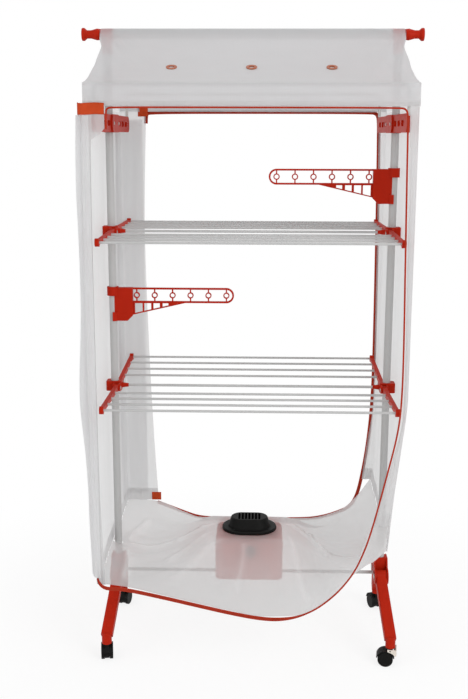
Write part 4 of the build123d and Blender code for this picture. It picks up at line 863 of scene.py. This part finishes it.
    def gable(self, side: int) -> bpy.types.Object:
        """Makes one gable, with shallow folds that fan down from the bar.

        Args:
            side: -1 for the left one and 1 for the right one.

        Returns:
            The new piece.
        """
        profile = self.profile()
        half = profile[profile[:, 1] > self.eave_z - 0.0005]
        y = np.linspace(-self.half_depth + 0.0004, self.half_depth - 0.0004, 170)
        top = np.interp(y, half[:, 0], half[:, 1]) - 0.0003
        hole = self.ridge_r - 0.0004
        under = self.bar_z - np.sqrt(np.clip(hole**2 - y**2, 0, None))
        top = np.where(np.abs(y) < hole, np.minimum(top, under), top)
        share = np.linspace(0, 1, 60)[:, None]
        z = self.hem_z + (top - self.hem_z) * share
        wide_y = np.broadcast_to(y, z.shape)
        pull = self.side_pull(z, wide_y, side) * share**2
        angle = np.arctan2(wide_y, self.bar_z + 0.02 - z)
        folds = 0.0016 * np.sin(angle * 17 + side) * smooth(0.02, 0.09, np.abs(wide_y))
        folds = folds * smooth(0.0, 0.15, share) * (1 - smooth(0.8, 1.0, share))
        x = side * (self.half_width - pull - np.abs(folds))
        return sheet_piece(f"gable_{'left' if side < 0 else 'right'}", np.stack([x, wide_y, z], -1))

    def hems(self, grid: Array) -> list[bpy.types.Object]:
        """Makes the sewn hems at the front and rear edge of the roof's sheet.

        Args:
            grid: The roof's points, from the front edge to the rear one.

        Returns:
            The two new pieces.
        """
        made = []
        for name, edge, outward in (("front", grid[0], -1), ("rear", grid[-1], 1)):
            strip = np.stack([edge + [0, 0, self.hem_depth * share] for share in (0, 0.5, 1)])
            strip[:, :, 1] += outward * np.array([0.0003, 0.0009, 0.0003])[:, None]
            made.append(sheet_piece(f"roof_hem_{name}", strip))
        return made


@dataclass
class SidePanel:
    """One side of the cover, which turns round both corners and hangs in upright folds."""

    name: str
    side: int
    node: str
    heights: Row
    front: Row
    across: tuple[Row, ...]
    rear: Row
    hem: Route
    flat: Pair
    area: float
    depth: float = 0.299
    corner: float = 0.009
    fold: float = 0.0017
    hem_gap: float = 0.0005
    hem_rows: int = 4
    rows: int = 95
    strip_columns: int = 12
    corner_columns: int = 8
    side_columns: int = 150
    places: Row = (-0.299, -0.225, -0.15, -0.075, 0, 0.075, 0.15, 0.225, 0.299)
    waves: Row = (0, 0.0027, 0, 0.0017, 0, 0.0019, 0, 0.0023, 0)

    def knots(self) -> Array:
        """How far out the panel is at its given heights.

        Returns:
            Distances from the middle by height and place, halfway places included.
        """
        given = np.array(self.across)
        rows = np.zeros((len(given), len(self.places)))
        rows[:, ::2] = given
        rows[:, 1::2] = (given[:, :-1] + given[:, 1:]) / 2
        return rows + self.waves

    def hem_height(self, y: float) -> float:
        """Height of the lower edge at one depth."""
        return float(np.interp(y, [p for p, _ in self.hem], [h for _, h in self.hem]))

    def reach(self, y: float, z: Array) -> Array:
        """How far out the panel is at one depth and given heights."""
        by_place = curve_through(self.heights, self.knots(), z)
        return curve_through(self.places, by_place.T, np.array(y))

    def folds(self, y: float, z: Array) -> Array:
        """How far the fine folds draw the cloth in.

        Args:
            y: The depth, in metres.
            z: The heights, in metres.

        Returns:
            The distance at each height, in metres.
        """
        off = np.array(abs(y))
        ends = float(smooth(0.035, 0.08, off)) * (1 - float(smooth(0.27, 0.292, off)))
        hang = smooth(1.405, 1.3, z)
        lean = 0.011 * np.sin(z * 5.3 + self.side) + 0.004 * np.sin(z * 13.0)
        wide = 0.5 + 0.5 * np.sin(TURN * (y + lean) / 0.061 + self.side)
        fine = 0.5 + 0.5 * np.sin(TURN * (y - lean * 0.7) / 0.023 + 2.0 * np.sin(z * 3.1))
        return ends * hang * self.fold * (wide + 0.55 * fine)

    def build(self, wardrobe: Wardrobe) -> None:
        """Makes the panel and its hem and dresses them.

        Args:
            wardrobe: Where the finishes come from.
        """
        columns, middle = [], []
        run = np.linspace(0, 1, self.rows)
        top = self.heights[0]
        inner = self.depth - self.corner
        for end, strip in ((-1, self.front), (1, self.rear)):
            part = []
            z = top + (self.hem_height(end * self.depth) - top) * run
            edge = curve_through(self.heights, strip, z)
            reach = self.reach(end * self.depth, z)
            bend = np.minimum(self.corner, (reach - edge) * 0.6)
            for share in np.linspace(0, 1, self.strip_columns):
                x = edge + (reach - bend - edge) * share
                ripple = np.sin(TURN * (share * 1.6 + 0.35 * np.sin(z * 4.4)))
                calm = smooth(1.4, 1.25, z) * math.sin(math.pi * share)
                y = end * (self.depth - 0.0013 * calm * (1 + ripple))
                part.append(np.stack([self.side * x, y, z], -1))
            for turn in np.linspace(0, math.pi / 2, self.corner_columns)[1:]:
                x = reach - bend + bend * math.sin(turn)
                y = end * (self.depth - bend + bend * math.cos(turn))
                part.append(np.stack([self.side * x, y, z], -1))
            columns.append(part[::-end])
        for y in np.linspace(-inner, inner, self.side_columns)[1:-1]:
            z = top + (self.hem_height(y) - top) * run
            x = self.reach(y, z) - self.folds(y, z)
            middle.append(np.stack([self.side * x, np.full_like(z, y), z], -1))
        grid = np.array([*columns[0], *middle, *columns[1]])
        panel = sheet_piece(self.name, grid)
        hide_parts(self.node)
        wardrobe.dress_piece(panel, CoverCloth("side_weave", Run.UPRIGHT))
        low_edge = grid[:, -self.hem_rows:, :] + [self.side * self.hem_gap, 0, 0]
        hem = sheet_piece(f"{self.name}_hem", low_edge)
        wardrobe.dress_piece(hem, HEM)


@dataclass
class Ridge:
    """One raised fold of the floor: a line with its height and width."""

    start: Pair
    end: Pair
    height: float
    width: float
    # shine: strength of the painted highlight on the fold's crest
    shine: float = 0.0

    def lift(self, x: Array, y: Array) -> Array:
        """How much of the fold's height there is at each place.

        Args:
            x: Places across, in metres.
            y: Places front to back, in metres.

        Returns:
            A share from 0 to 1 at each place.
        """
        a, b = np.array(self.start), np.array(self.end)
        run = b - a
        length = np.linalg.norm(run)
        along = ((x - a[0]) * run[0] + (y - a[1]) * run[1]) / length**2
        off = ((x - a[0]) * run[1] - (y - a[1]) * run[0]) / length
        off = off + 0.002 * np.sin(along * 9 + self.width * 400)
        taper = smooth(-0.06, 0.14, along) * (1 - smooth(0.86, 1.06, along))
        return taper * np.exp(-((off / self.width) ** 2))


@dataclass
class FloorCloth:
    """The floor's sheet, which hangs between its rims and is drawn up to the outlet."""

    left: SidePanel
    right: SidePanel
    rows: tuple[tuple[float, Route], ...]
    ridges: tuple[Ridge, ...]
    rim_lift: float = 0.003
    rim_gap: float = 0.0016
    post_x: float = 0.3585
    post_hole: float = 0.0125
    snap: float = 0.0032
    columns: int = 150
    depths: int = 125
    neck: Pair = (0.0200, 0.0384)
    flat: Pair = (0.86, 0.72)
    area: float = 0.5

    def rim(self, panel: SidePanel, depth: float) -> Pair:
        """How far out the sheet meets a panel at one depth, and how high."""
        z = panel.hem_height(depth) + self.rim_lift
        return float(panel.reach(depth, np.array([z]))[0]) - self.rim_gap, z

    def height(self, x: Array, y: Array) -> Array:
        """Height of the sheet without its fine folds.

        Args:
            x: Places across, in metres.
            y: Places front to back, in metres.

        Returns:
            The height at each place, in metres.
        """
        depths = [depth for depth, _ in self.rows]
        lines = []
        for depth, places in self.rows:
            left_x, left_z = self.rim(self.left, depth)
            lines.append(np.array([(-left_x, left_z), *places, self.rim(self.right, depth)]).T)
        made = np.zeros_like(x)
        for i, at in enumerate(x):
            across = np.array([curve_through(xs, zs, at) for xs, zs in lines])
            made[i] = [curve_through(depths, across[:, j], y[i, j]) for j in range(len(at))]
        return made

    def fit_hole(
        self, x: Array, y: Array, centre: Any, radius: float
    ) -> tuple[Array, Array, Array]:
        """Moves the grid points beside a hole onto its edge.

        Args:
            x: Places across.
            y: Places front to back.
            centre: Where the hole's middle is across, which may differ from point to point.
            radius: The hole's radius, in metres.

        Returns:
            The moved places, and which of them are left inside the hole.
        """
        off = np.hypot(x - centre, y) - radius
        near = np.abs(off) < self.snap
        scale = np.where(near, radius / np.maximum(off + radius, 1e-6), 1.0)
        return centre + (x - centre) * scale, y * scale, (off < 0) & ~near

    def fine_folds(self, x: Array, y: Array) -> Array:
        """Height of the folds that spread from the outlet to the rims.

        Args:
            x: Places across, in metres.
            y: Places front to back, in metres.

        Returns:
            The height at each place, in metres.
        """
        angle = np.arctan2(y * 1.4, x)
        far = np.hypot(x / 1.3, y)
        spread = smooth(0.09, 0.2, far) * (1 - smooth(0.22, 0.31, far))
        fan = 0.0028 * np.sin(angle * 11 + 0.8) + 0.0016 * np.sin(angle * 23 + far * 14)
        total = fan * spread
        for ridge in self.ridges:
            total = total + ridge.lift(x, y) * ridge.height
        rim = np.minimum(0.365 - np.abs(x), 0.2965 - np.abs(y))
        open_floor = smooth(0.0, 0.035, rim)
        outlet = np.maximum(np.abs(x) / 0.106, np.abs(y) / 0.092)
        return total * open_floor * smooth(1.0, 1.25, outlet)

    def corners(self, keep: Array) -> Array:
        """Finds the grid points in use.

        Args:
            keep: Which cells are kept.

        Returns:
            Whether each point is a corner of a kept cell.
        """
        touched = np.zeros((keep.shape[0] + 1, keep.shape[1] + 1), bool)
        for rows in (slice(0, -1), slice(1, None)):
            for columns in (slice(0, -1), slice(1, None)):
                touched[rows, columns] |= keep
        return touched

    def build(self, wardrobe: Wardrobe) -> None:
        """Makes the floor's sheet and dresses it.

        Args:
            wardrobe: Where the finishes come from.
        """
        depths = np.linspace(self.rows[0][0], self.rows[-1][0], self.depths)
        share = np.linspace(0, 1, self.columns)
        x = np.zeros((len(depths), len(share)))
        y = np.repeat(depths[:, None], len(share), 1)
        for i, depth in enumerate(depths):
            ends = []
            for panel in (self.left, self.right):
                out, z = self.rim(panel, depth)
                ends.append(out - float(panel.folds(depth, np.array([z]))[0]))
            x[i] = -ends[0] + (ends[0] + ends[1]) * share
        half, radius = self.neck
        x, y, inside = self.fit_hole(x, y, np.clip(x, -half, half), radius)
        for side in (-1, 1):
            x, y, in_hole = self.fit_hole(x, y, side * self.post_x, self.post_hole)
            inside |= in_hole
        gone = inside[:-1, :-1] | inside[:-1, 1:] | inside[1:, 1:] | inside[1:, :-1]
        z = self.height(x, y) + self.fine_folds(x, y)
        grid = np.stack([x, y, z], -1)
        floor = sheet_piece("floor_cloth", grid, ~gone)
        # Painted highlight: each ridge's crest, weighted by its shine, is stored on the floor for its
        # finish to pale.
        crest = sum(ridge.lift(x, y) ** 3 * ridge.shine for ridge in self.ridges)
        used = np.unique(np.arange(x.size).reshape(x.shape)[self.corners(~gone)])
        values = floor.data.attributes.new("crest", "FLOAT", "POINT")
        values.data.foreach_set("value", np.minimum(crest.ravel()[used], 1.0).tolist())
        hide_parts("cover_floor")
        finish = CoverCloth("floor_weave", Run.LEVEL, (0.66, 0.655, 0.655), 0.76, crest_highlights=True)
        wardrobe.dress_piece(floor, finish)


@dataclass
class GatheredDoor:
    """A door that is drawn to the left corner, where it hangs in narrow pleats."""

    name: str
    node: str
    end: int
    strip_x: float
    flat: Pair
    heights: Row = (1.402, 1.215, 0.987, 0.749, 0.601, 0.449, 0.300)
    inner: Row = (0.3766, 0.3792, 0.3798, 0.3798, 0.3794, 0.3784, 0.3760)
    outer: Row = (0.3900, 0.3970, 0.3950, 0.4000, 0.3920, 0.3880, 0.3830)
    face_y: float = 0.3006
    first_y: float = 0.2915
    last_y: float = 0.2062
    pleats: int = 9
    rows: int = 110
    strip_columns: int = 14
    corner_columns: int = 6
    pleat_columns: int = 14

    def build(self, wardrobe: Wardrobe) -> None:
        """Makes the gathered door and dresses it.

        Args:
            wardrobe: Where the finishes come from.
        """
        z = np.linspace(self.heights[0], self.heights[-1], self.rows)
        inner = curve_through(self.heights, self.inner, z)
        outer = curve_through(self.heights, self.outer, z)
        columns = []
        for share in np.linspace(0, 1, self.strip_columns):
            x = self.strip_x + (inner - 0.004 - self.strip_x) * share
            ripple = 0.0012 * np.sin(TURN * share * 2.2 + 3 * np.sin(z * 5.0))
            y = self.face_y + np.maximum(ripple * (share * (1 - share) * 4), 0)
            columns.append(np.stack([-x, self.end * y, z], -1))
        for turn in np.linspace(0, math.pi / 2, self.corner_columns)[1:]:
            x = inner - 0.004 + 0.0048 * math.sin(turn)
            y = self.face_y - 0.009 + 0.009 * math.cos(turn)
            columns.append(np.stack([-x, self.end * (y + 0 * z), z], -1))
        whole = TURN * self.pleats
        for phase in np.linspace(0, whole, self.pleats * self.pleat_columns)[1:]:
            share = phase / whole
            uneven = 0.72 + 0.28 * np.sin(share * 37 + 2.2 * np.sin(z * 4.1 + share * 5))
            swell = (0.5 - 0.5 * math.cos(phase)) * uneven
            lean = 0.0016 * np.sin(z * 6.0 + share * 9) * math.sin(math.pi * share)
            x = inner + (outer - inner) * swell + 0.0006
            y = self.first_y + (self.last_y - self.first_y) * share + 0.0017 * math.sin(phase) + lean
            columns.append(np.stack([-x, self.end * y, z], -1))
        door = sheet_piece(self.name, np.array(columns))
        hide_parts(self.node)
        # The door is the cover's own cloth painted paler: painted light on the gathered bundle hanging
        # at the front.
        finish = CoverCloth("door_weave", Run.UPRIGHT, (0.88, 0.88, 0.89), 0.82)
        wardrobe.dress_piece(door, finish)


@dataclass
class DoorPiping:
    """Red piping round both doorways, with a flat zip tape sewn beside it."""

    front: Route
    rear: Route
    radius: float = 0.0021
    y: float = 0.3005
    tape: float = 0.0080
    thin: float = 0.0022
    thin_above: float = 0.286
    tape_in: float = 0.0012
    tape_back: float = 0.0004
    round_columns: int = 11

    def line(self, places: Sequence[Pair], end: int) -> Array:
        """Follows the smooth line of a doorway's edge.

        Args:
            places: The route's points, across and up, in millimetres.
            end: -1 for the front doorway and 1 for the rear one.

        Returns:
            Points in metres.
        """
        curve = bpy.data.curves.new("piping_line", "CURVE")
        curve.dimensions = "3D"
        spline = curve.splines.new("NURBS")
        spline.points.add(len(places) - 1)
        for point, (x, z) in zip(spline.points, places):
            point.co = (x / 1000, end * self.y, z / 1000, 1)
        spline.order_u = 3
        spline.use_endpoint_u = True
        spline.resolution_u = 10
        carrier = bpy.data.objects.new("piping_line", curve)
        mesh = bpy.data.meshes.new_from_object(carrier)
        points = np.array([tuple(v.co) for v in mesh.vertices])
        bpy.data.objects.remove(carrier)
        bpy.data.curves.remove(curve)
        bpy.data.meshes.remove(mesh)
        return points

    def build(self, wardrobe: Wardrobe) -> None:
        """Makes the piping and its tapes and dresses them.

        Args:
            wardrobe: Where the finishes come from.
        """
        tubes, tapes = [], []
        for end, places in ((-1, self.front), (1, self.rear)):
            line = self.line(places, end)
            step = np.gradient(line, axis=0)
            step /= np.linalg.norm(step, axis=1)[:, None]
            outward = np.cross(step, [0, end, 0]) * end
            deep = np.array([0, 1.0, 0])
            rounds = np.linspace(0, TURN, self.round_columns)
            ring = [line + self.radius * (math.cos(a) * outward + math.sin(a) * deep) for a in rounds]
            tubes.append(sheet_piece(f"piping_{end + 1}", np.array(ring)))
            if end < 0:
                low = 1.0 - smooth(self.thin_above - 0.02, self.thin_above + 0.02, line[:, 2])
                low = low * (1.0 - smooth(0.06, 0.16, line[:, 0]))
            else:
                low = np.ones(len(line))
            wide = self.thin + (self.tape - self.thin) * low
            flat = [
                line + outward * (self.tape_in + (wide - self.tape_in) * share)[:, None]
                + [0, -end * self.tape_back, 0]
                for share in (0.0, 0.5, 1.0)
            ]
            tapes.append(sheet_piece(f"tape_{end + 1}", np.array(flat)))
        piping = join_pieces("door_piping", tubes)
        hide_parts("cover_piping")
        wardrobe.dress_piece(piping, WovenTape("piping_weave"))
        tape = join_pieces("zip_tape", tapes)
        wardrobe.dress_piece(tape, WovenTape("tape_weave", (0.4, 0.032, 0.011), 0.0022))


@dataclass
class DoorTabs:
    """Red tape at the front left corner and the stitched end tabs of the rear zip."""

    corner: Route = (
        (-0.3245, -0.3012), (-0.350, -0.3013), (-0.3775, -0.3012), (-0.3835, -0.2985),
        (-0.3850, -0.2935), (-0.3851, -0.278), (-0.3850, -0.262),
    )
    corner_z: Pair = (1.4030, 1.4285)
    tab_size: Pair = (0.028, 0.024)
    tab_places: Route = ((-0.307, 1.421), (-0.284, 0.290))
    tab_y: float = 0.2970
    thickness: float = 0.0011

    def build(self, wardrobe: Wardrobe) -> None:
        """Makes the tabs as one piece and dresses it.

        Args:
            wardrobe: Where the finishes come from.
        """
        rows = np.linspace(*self.corner_z, 7)
        plan = np.array(self.corner)
        share = np.linspace(0, 1, len(plan))
        fine = np.linspace(0, 1, 40)
        x, y = (np.interp(fine, share, plan[:, i]) for i in (0, 1))
        grid = np.array([
            np.stack([x, y, z + 0.0008 * np.sin(fine * 14 + i)], -1) for i, z in enumerate(rows)
        ])
        made = [sheet_piece("corner_tape", grid)]
        width, height = self.tab_size
        u, v = np.meshgrid(np.linspace(-0.5, 0.5, 13), np.linspace(-0.5, 0.5, 11))
        swell = 0.0007 * np.cos(u * math.pi) * np.cos(v * math.pi)
        for number, (x, z) in enumerate(self.tab_places):
            grid = np.stack([x + u * width, self.tab_y - swell, z + v * height], -1)
            made.append(sheet_piece(f"tab_{number}", grid))
        tabs = join_pieces("door_tabs", made)
        thick = tabs.modifiers.new("thickness", "SOLIDIFY")
        thick.thickness = self.thickness
        thick.offset = 0.0
        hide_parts("cover_tabs")
        wardrobe.dress_piece(tabs, WovenTape("tab_weave", (0.55, 0.06, 0.012), 0.0018))


# Studio


@dataclass
class Studio:
    """Pale floor, white backdrop, soft lamps and the photograph's camera."""

    eye: tuple[float, float, float] = (0.022, -2.565, 1.361)
    pitch: float = 12.142
    yaw: float = 1.455
    roll: float = 0.152
    focal_px: float = 1000.0
    frame_px: tuple[int, int] = (468, 699)
    world: float = 0.66
    middle: Colour = (0.0, 0.0, 0.8)
    floor_half: float = 9.0
    floor_glow: float = 0.82
    extra_glow: float = 0.18
    glow_reach: Pair = (0.45, 1.3)
    sensor_mm: float = 36.0
    sight: float = 60.0

    def camera(self) -> None:
        """Makes the camera at the photograph's angle."""
        p, y, r = (math.radians(a) for a in (self.pitch, self.yaw, self.roll))
        ahead = Vector((-math.sin(y) * math.cos(p), math.cos(y) * math.cos(p), -math.sin(p)))
        right = Vector((math.cos(y), math.sin(y), 0))
        up = right.cross(ahead)
        level = right * math.cos(r) + up * math.sin(r)
        upright = up * math.cos(r) - right * math.sin(r)
        data = bpy.data.cameras.new("photo_camera")
        data.sensor_width = self.sensor_mm
        data.lens = self.sensor_mm * self.focal_px / max(self.frame_px)
        data.clip_end = self.sight
        camera = bpy.data.objects.new("photo_camera", data)
        turn = Matrix((level, upright, -ahead)).transposed()
        camera.matrix_world = Matrix.Translation(self.eye) @ turn.to_4x4()
        bpy.context.scene.collection.objects.link(camera)
        bpy.context.scene.camera = camera

    def lamp(self, name: str, place: Colour, power: float, size: float) -> None:
        """Adds one soft square lamp that looks at the rack's middle.

        Args:
            name: The lamp's name.
            place: Where it stands, in metres.
            power: Its power, in watts.
            size: Its side, in metres.
        """
        data = bpy.data.lights.new(name, "AREA")
        data.energy = power
        data.size = size
        lamp = bpy.data.objects.new(name, data)
        lamp.location = place
        lamp.rotation_euler = (Vector(self.middle) - Vector(place)).to_track_quat("-Z", "Y").to_euler()
        bpy.context.scene.collection.objects.link(lamp)

    def backdrop(self) -> None:
        """Makes the world white to the camera and plain light to the object."""
        sky = MaterialMaker("studio", "worlds")
        bpy.context.scene.world = sky.block
        light, white = (
            sky.node("ShaderNodeBackground", {"Color": WHITE, "Strength": strength})["Background"]
            for strength in (self.world, 1.0)
        )
        sky.node("ShaderNodeOutputWorld", {"Surface": sky.mix(sky.seen(), light, white)})

    def floor(self) -> None:
        """Makes the pale floor, which keeps the rack's shadow."""
        far = self.floor_half
        corners = [(-far, -far, 0), (far, -far, 0), (far, far, 0), (-far, far, 0)]
        floor = link_mesh("studio_floor", corners, [(0, 1, 2, 3)])
        m = MaterialMaker("studio_floor")
        x, y, _ = m.axes()
        away = (x * x + y * y) ** 0.5
        share = m.seen() * (away.step(*self.glow_reach) * self.extra_glow + self.floor_glow)
        matt = m.node("ShaderNodeBsdfDiffuse", {"Color": PAPER, "Roughness": 0.6})["BSDF"]
        glow = m.node("ShaderNodeEmission", {"Color": WHITE, "Strength": 1.0})["Emission"]
        m.node("ShaderNodeOutputMaterial", {"Surface": m.mix(share, matt, glow)})
        floor.data.materials.append(m.block)

    def build(self) -> None:
        """Makes the camera, the backdrop, the floor and the lamps."""
        self.camera()
        self.backdrop()
        self.floor()
        self.lamp("key_lamp", place=(2.1, -2.7, 2.1), power=44.0, size=1.8)
        self.lamp("fill_lamp", place=(-2.4, -1.9, 1.7), power=16.0, size=2.0)
        self.lamp("top_lamp", place=(0.2, 0.9, 3.4), power=13.0, size=2.2)
        bpy.context.scene.view_settings.view_transform = "Standard"


LEVEL_ROW = (0.372, 0.372, 0.373, 0.372, 0.372)
SLACK_ROW = (0.372, 0.378, 0.384, 0.378, 0.372)
LEFT_PANEL = SidePanel(
    name="side_cloth_left",
    side=-1,
    node="cover_side_left",
    heights=(1.4217, 1.372, 1.345, 1.100, 0.760, 0.500, 0.262),
    front=(0.3245, 0.325, 0.356, 0.358, 0.358, 0.356, 0.348),
    across=(
        LEVEL_ROW,
        (0.372, 0.3728, 0.3746, 0.3728, 0.372),
        (0.372, 0.3734, 0.3755, 0.3734, 0.372),
        SLACK_ROW,
        SLACK_ROW,
        (0.372, 0.377, 0.383, 0.377, 0.371),
        (0.371, 0.372, 0.375, 0.372, 0.370),
    ),
    rear=(0.299, 0.300, 0.301, 0.307, 0.300, 0.290, 0.277),
    hem=((-0.299, 0.281), (-0.15, 0.274), (0, 0.268), (0.15, 0.272), (0.299, 0.277)),
    flat=(0.74, 1.15),
    area=0.82,
)
RIGHT_PANEL = SidePanel(
    name="side_cloth_right",
    side=1,
    node="cover_side_right",
    heights=(1.4217, 1.100, 0.760, 0.725, 0.600, 0.440, 0.262),
    front=(0.350, 0.356, 0.3615, 0.3615, 0.338, 0.301, 0.292),
    across=(
        LEVEL_ROW,
        SLACK_ROW,
        SLACK_ROW,
        (0.370, 0.3775, 0.3835, 0.378, 0.372),
        (0.357, 0.374, 0.382, 0.376, 0.371),
        (0.336, 0.366, 0.380, 0.375, 0.368),
        (0.318, 0.352, 0.376, 0.372, 0.350),
    ),
    rear=(0.350, 0.356, 0.3595, 0.360, 0.361, 0.343, 0.325),
    hem=((-0.299, 0.440), (-0.2, 0.352), (-0.1, 0.290), (0, 0.266), (0.1, 0.284),
         (0.2, 0.314), (0.299, 0.350)),
    flat=(0.66, 1.15),
    area=0.7,
)
OUTLET_ROW = (
    (-0.280, 0.252), (-0.190, 0.271), (-0.097, 0.3105), (-0.040, 0.3115), (0.030, 0.3114),
    (0.097, 0.3105), (0.180, 0.270), (0.255, 0.250), (0.320, 0.256),
)
FLOOR_ROWS = (
    (-0.2976, ((-0.301, 0.276), (-0.210, 0.255), (-0.117, 0.233), (-0.040, 0.215),
               (0.030, 0.202), (0.124, 0.206), (0.198, 0.251), (0.258, 0.325), (0.299, 0.442))),
    (-0.200, ((-0.290, 0.258), (-0.200, 0.262), (-0.110, 0.262), (-0.060, 0.248),
              (0.010, 0.248), (0.110, 0.236), (0.190, 0.232), (0.250, 0.262), (0.308, 0.305))),
    (-0.075, OUTLET_ROW),
    (0.0, OUTLET_ROW),
    (0.075, OUTLET_ROW),
    (0.190, ((-0.290, 0.256), (-0.200, 0.250), (-0.110, 0.258), (-0.050, 0.246),
             (0.020, 0.248), (0.110, 0.250), (0.190, 0.244), (0.255, 0.258), (0.310, 0.286))),
    (0.2976, ((-0.283, 0.274), (-0.199, 0.240), (-0.153, 0.224), (-0.060, 0.222),
              (0.020, 0.221), (0.100, 0.222), (0.181, 0.225), (0.272, 0.252), (0.316, 0.292))),
)
RIDGES = (
    Ridge((0.095, 0.040), (0.180, 0.008), 0.010, 0.009, 0.9),
    Ridge((0.165, 0.020), (0.217, -0.064), 0.010, 0.009, 0.8),
    Ridge((0.203, -0.062), (0.295, -0.045), 0.008, 0.009, 0.6),
    Ridge((0.105, -0.030), (0.150, -0.270), 0.007, 0.010, 0.45),
    Ridge((-0.085, 0.030), (-0.205, 0.000), 0.010, 0.011, 0.5),
    Ridge((-0.190, 0.000), (-0.335, 0.000), 0.009, 0.009, 0.7),
    Ridge((-0.340, 0.000), (-0.295, 0.190), 0.008, 0.010, 0.6),
    Ridge((-0.060, -0.060), (-0.205, -0.238), 0.008, 0.015, 0.3),
    Ridge((-0.090, -0.020), (-0.225, -0.122), 0.007, 0.011, 0.3),
    Ridge((-0.010, -0.085), (-0.028, -0.255), 0.006, 0.011, 0.3),
    Ridge((-0.330, -0.030), (-0.311, -0.262), 0.008, 0.010, 0.55),
    Ridge((0.080, 0.040), (0.270, 0.210), 0.007, 0.013),
    Ridge((0.010, 0.080), (0.030, 0.260), 0.006, 0.014),
)
FRONT_ROUTE = (
    (-321, 1371), (-321, 1408), (-318, 1417), (-305, 1419), (0, 1419), (325, 1419), (343, 1416),
    (346, 1396), (347, 1340), (352, 1084), (356, 900), (357, 770), (352, 680), (326, 560),
    (299, 440), (281, 378), (258, 323), (228, 280), (198, 249), (162, 221), (124, 204), (80, 198),
    (30, 200), (-40, 213), (-117, 231), (-210, 253), (-301, 273), (-338, 273), (-352, 276),
    (-363, 285), (-368, 298),
)
REAR_ROUTE = (
    (-296, 1390), (-296, 1412), (-290, 1418), (0, 1419), (325, 1419), (344, 1416), (348, 1396),
    (350, 1300), (353, 1096), (356, 800), (356, 600), (346, 460), (329, 346), (316, 292),
    (296, 262), (272, 250), (230, 234), (181, 224), (100, 222), (-60, 222), (-150, 223),
    (-199, 240), (-280, 272),
)


def main() -> None:
    logging.basicConfig(level=logging.INFO, format="%(name)s: %(message)s")
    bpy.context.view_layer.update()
    wardrobe = Wardrobe()
    for part in (PostsAndBar(), Shelves(), CanopyFrame(), HangerArms(), LegsAndCastors(),
                 FanHeater(), VentEyelets()):
        part.dress(wardrobe)
    for cloth in (
        RoofCover(),
        LEFT_PANEL,
        RIGHT_PANEL,
        FloorCloth(LEFT_PANEL, RIGHT_PANEL, FLOOR_ROWS, RIDGES),
        GatheredDoor("door_cloth_front", "door_front_bundle", -1, 0.360, (0.31, 1.102)),
        GatheredDoor("door_cloth_rear", "door_rear_bundle", 1, 0.310, (0.36, 1.102)),
        DoorPiping(FRONT_ROUTE, REAR_ROUTE),
        DoorTabs(),
    ):
        cloth.build(wardrobe)
    Studio().build()


if __name__ == "__main__":
    main()
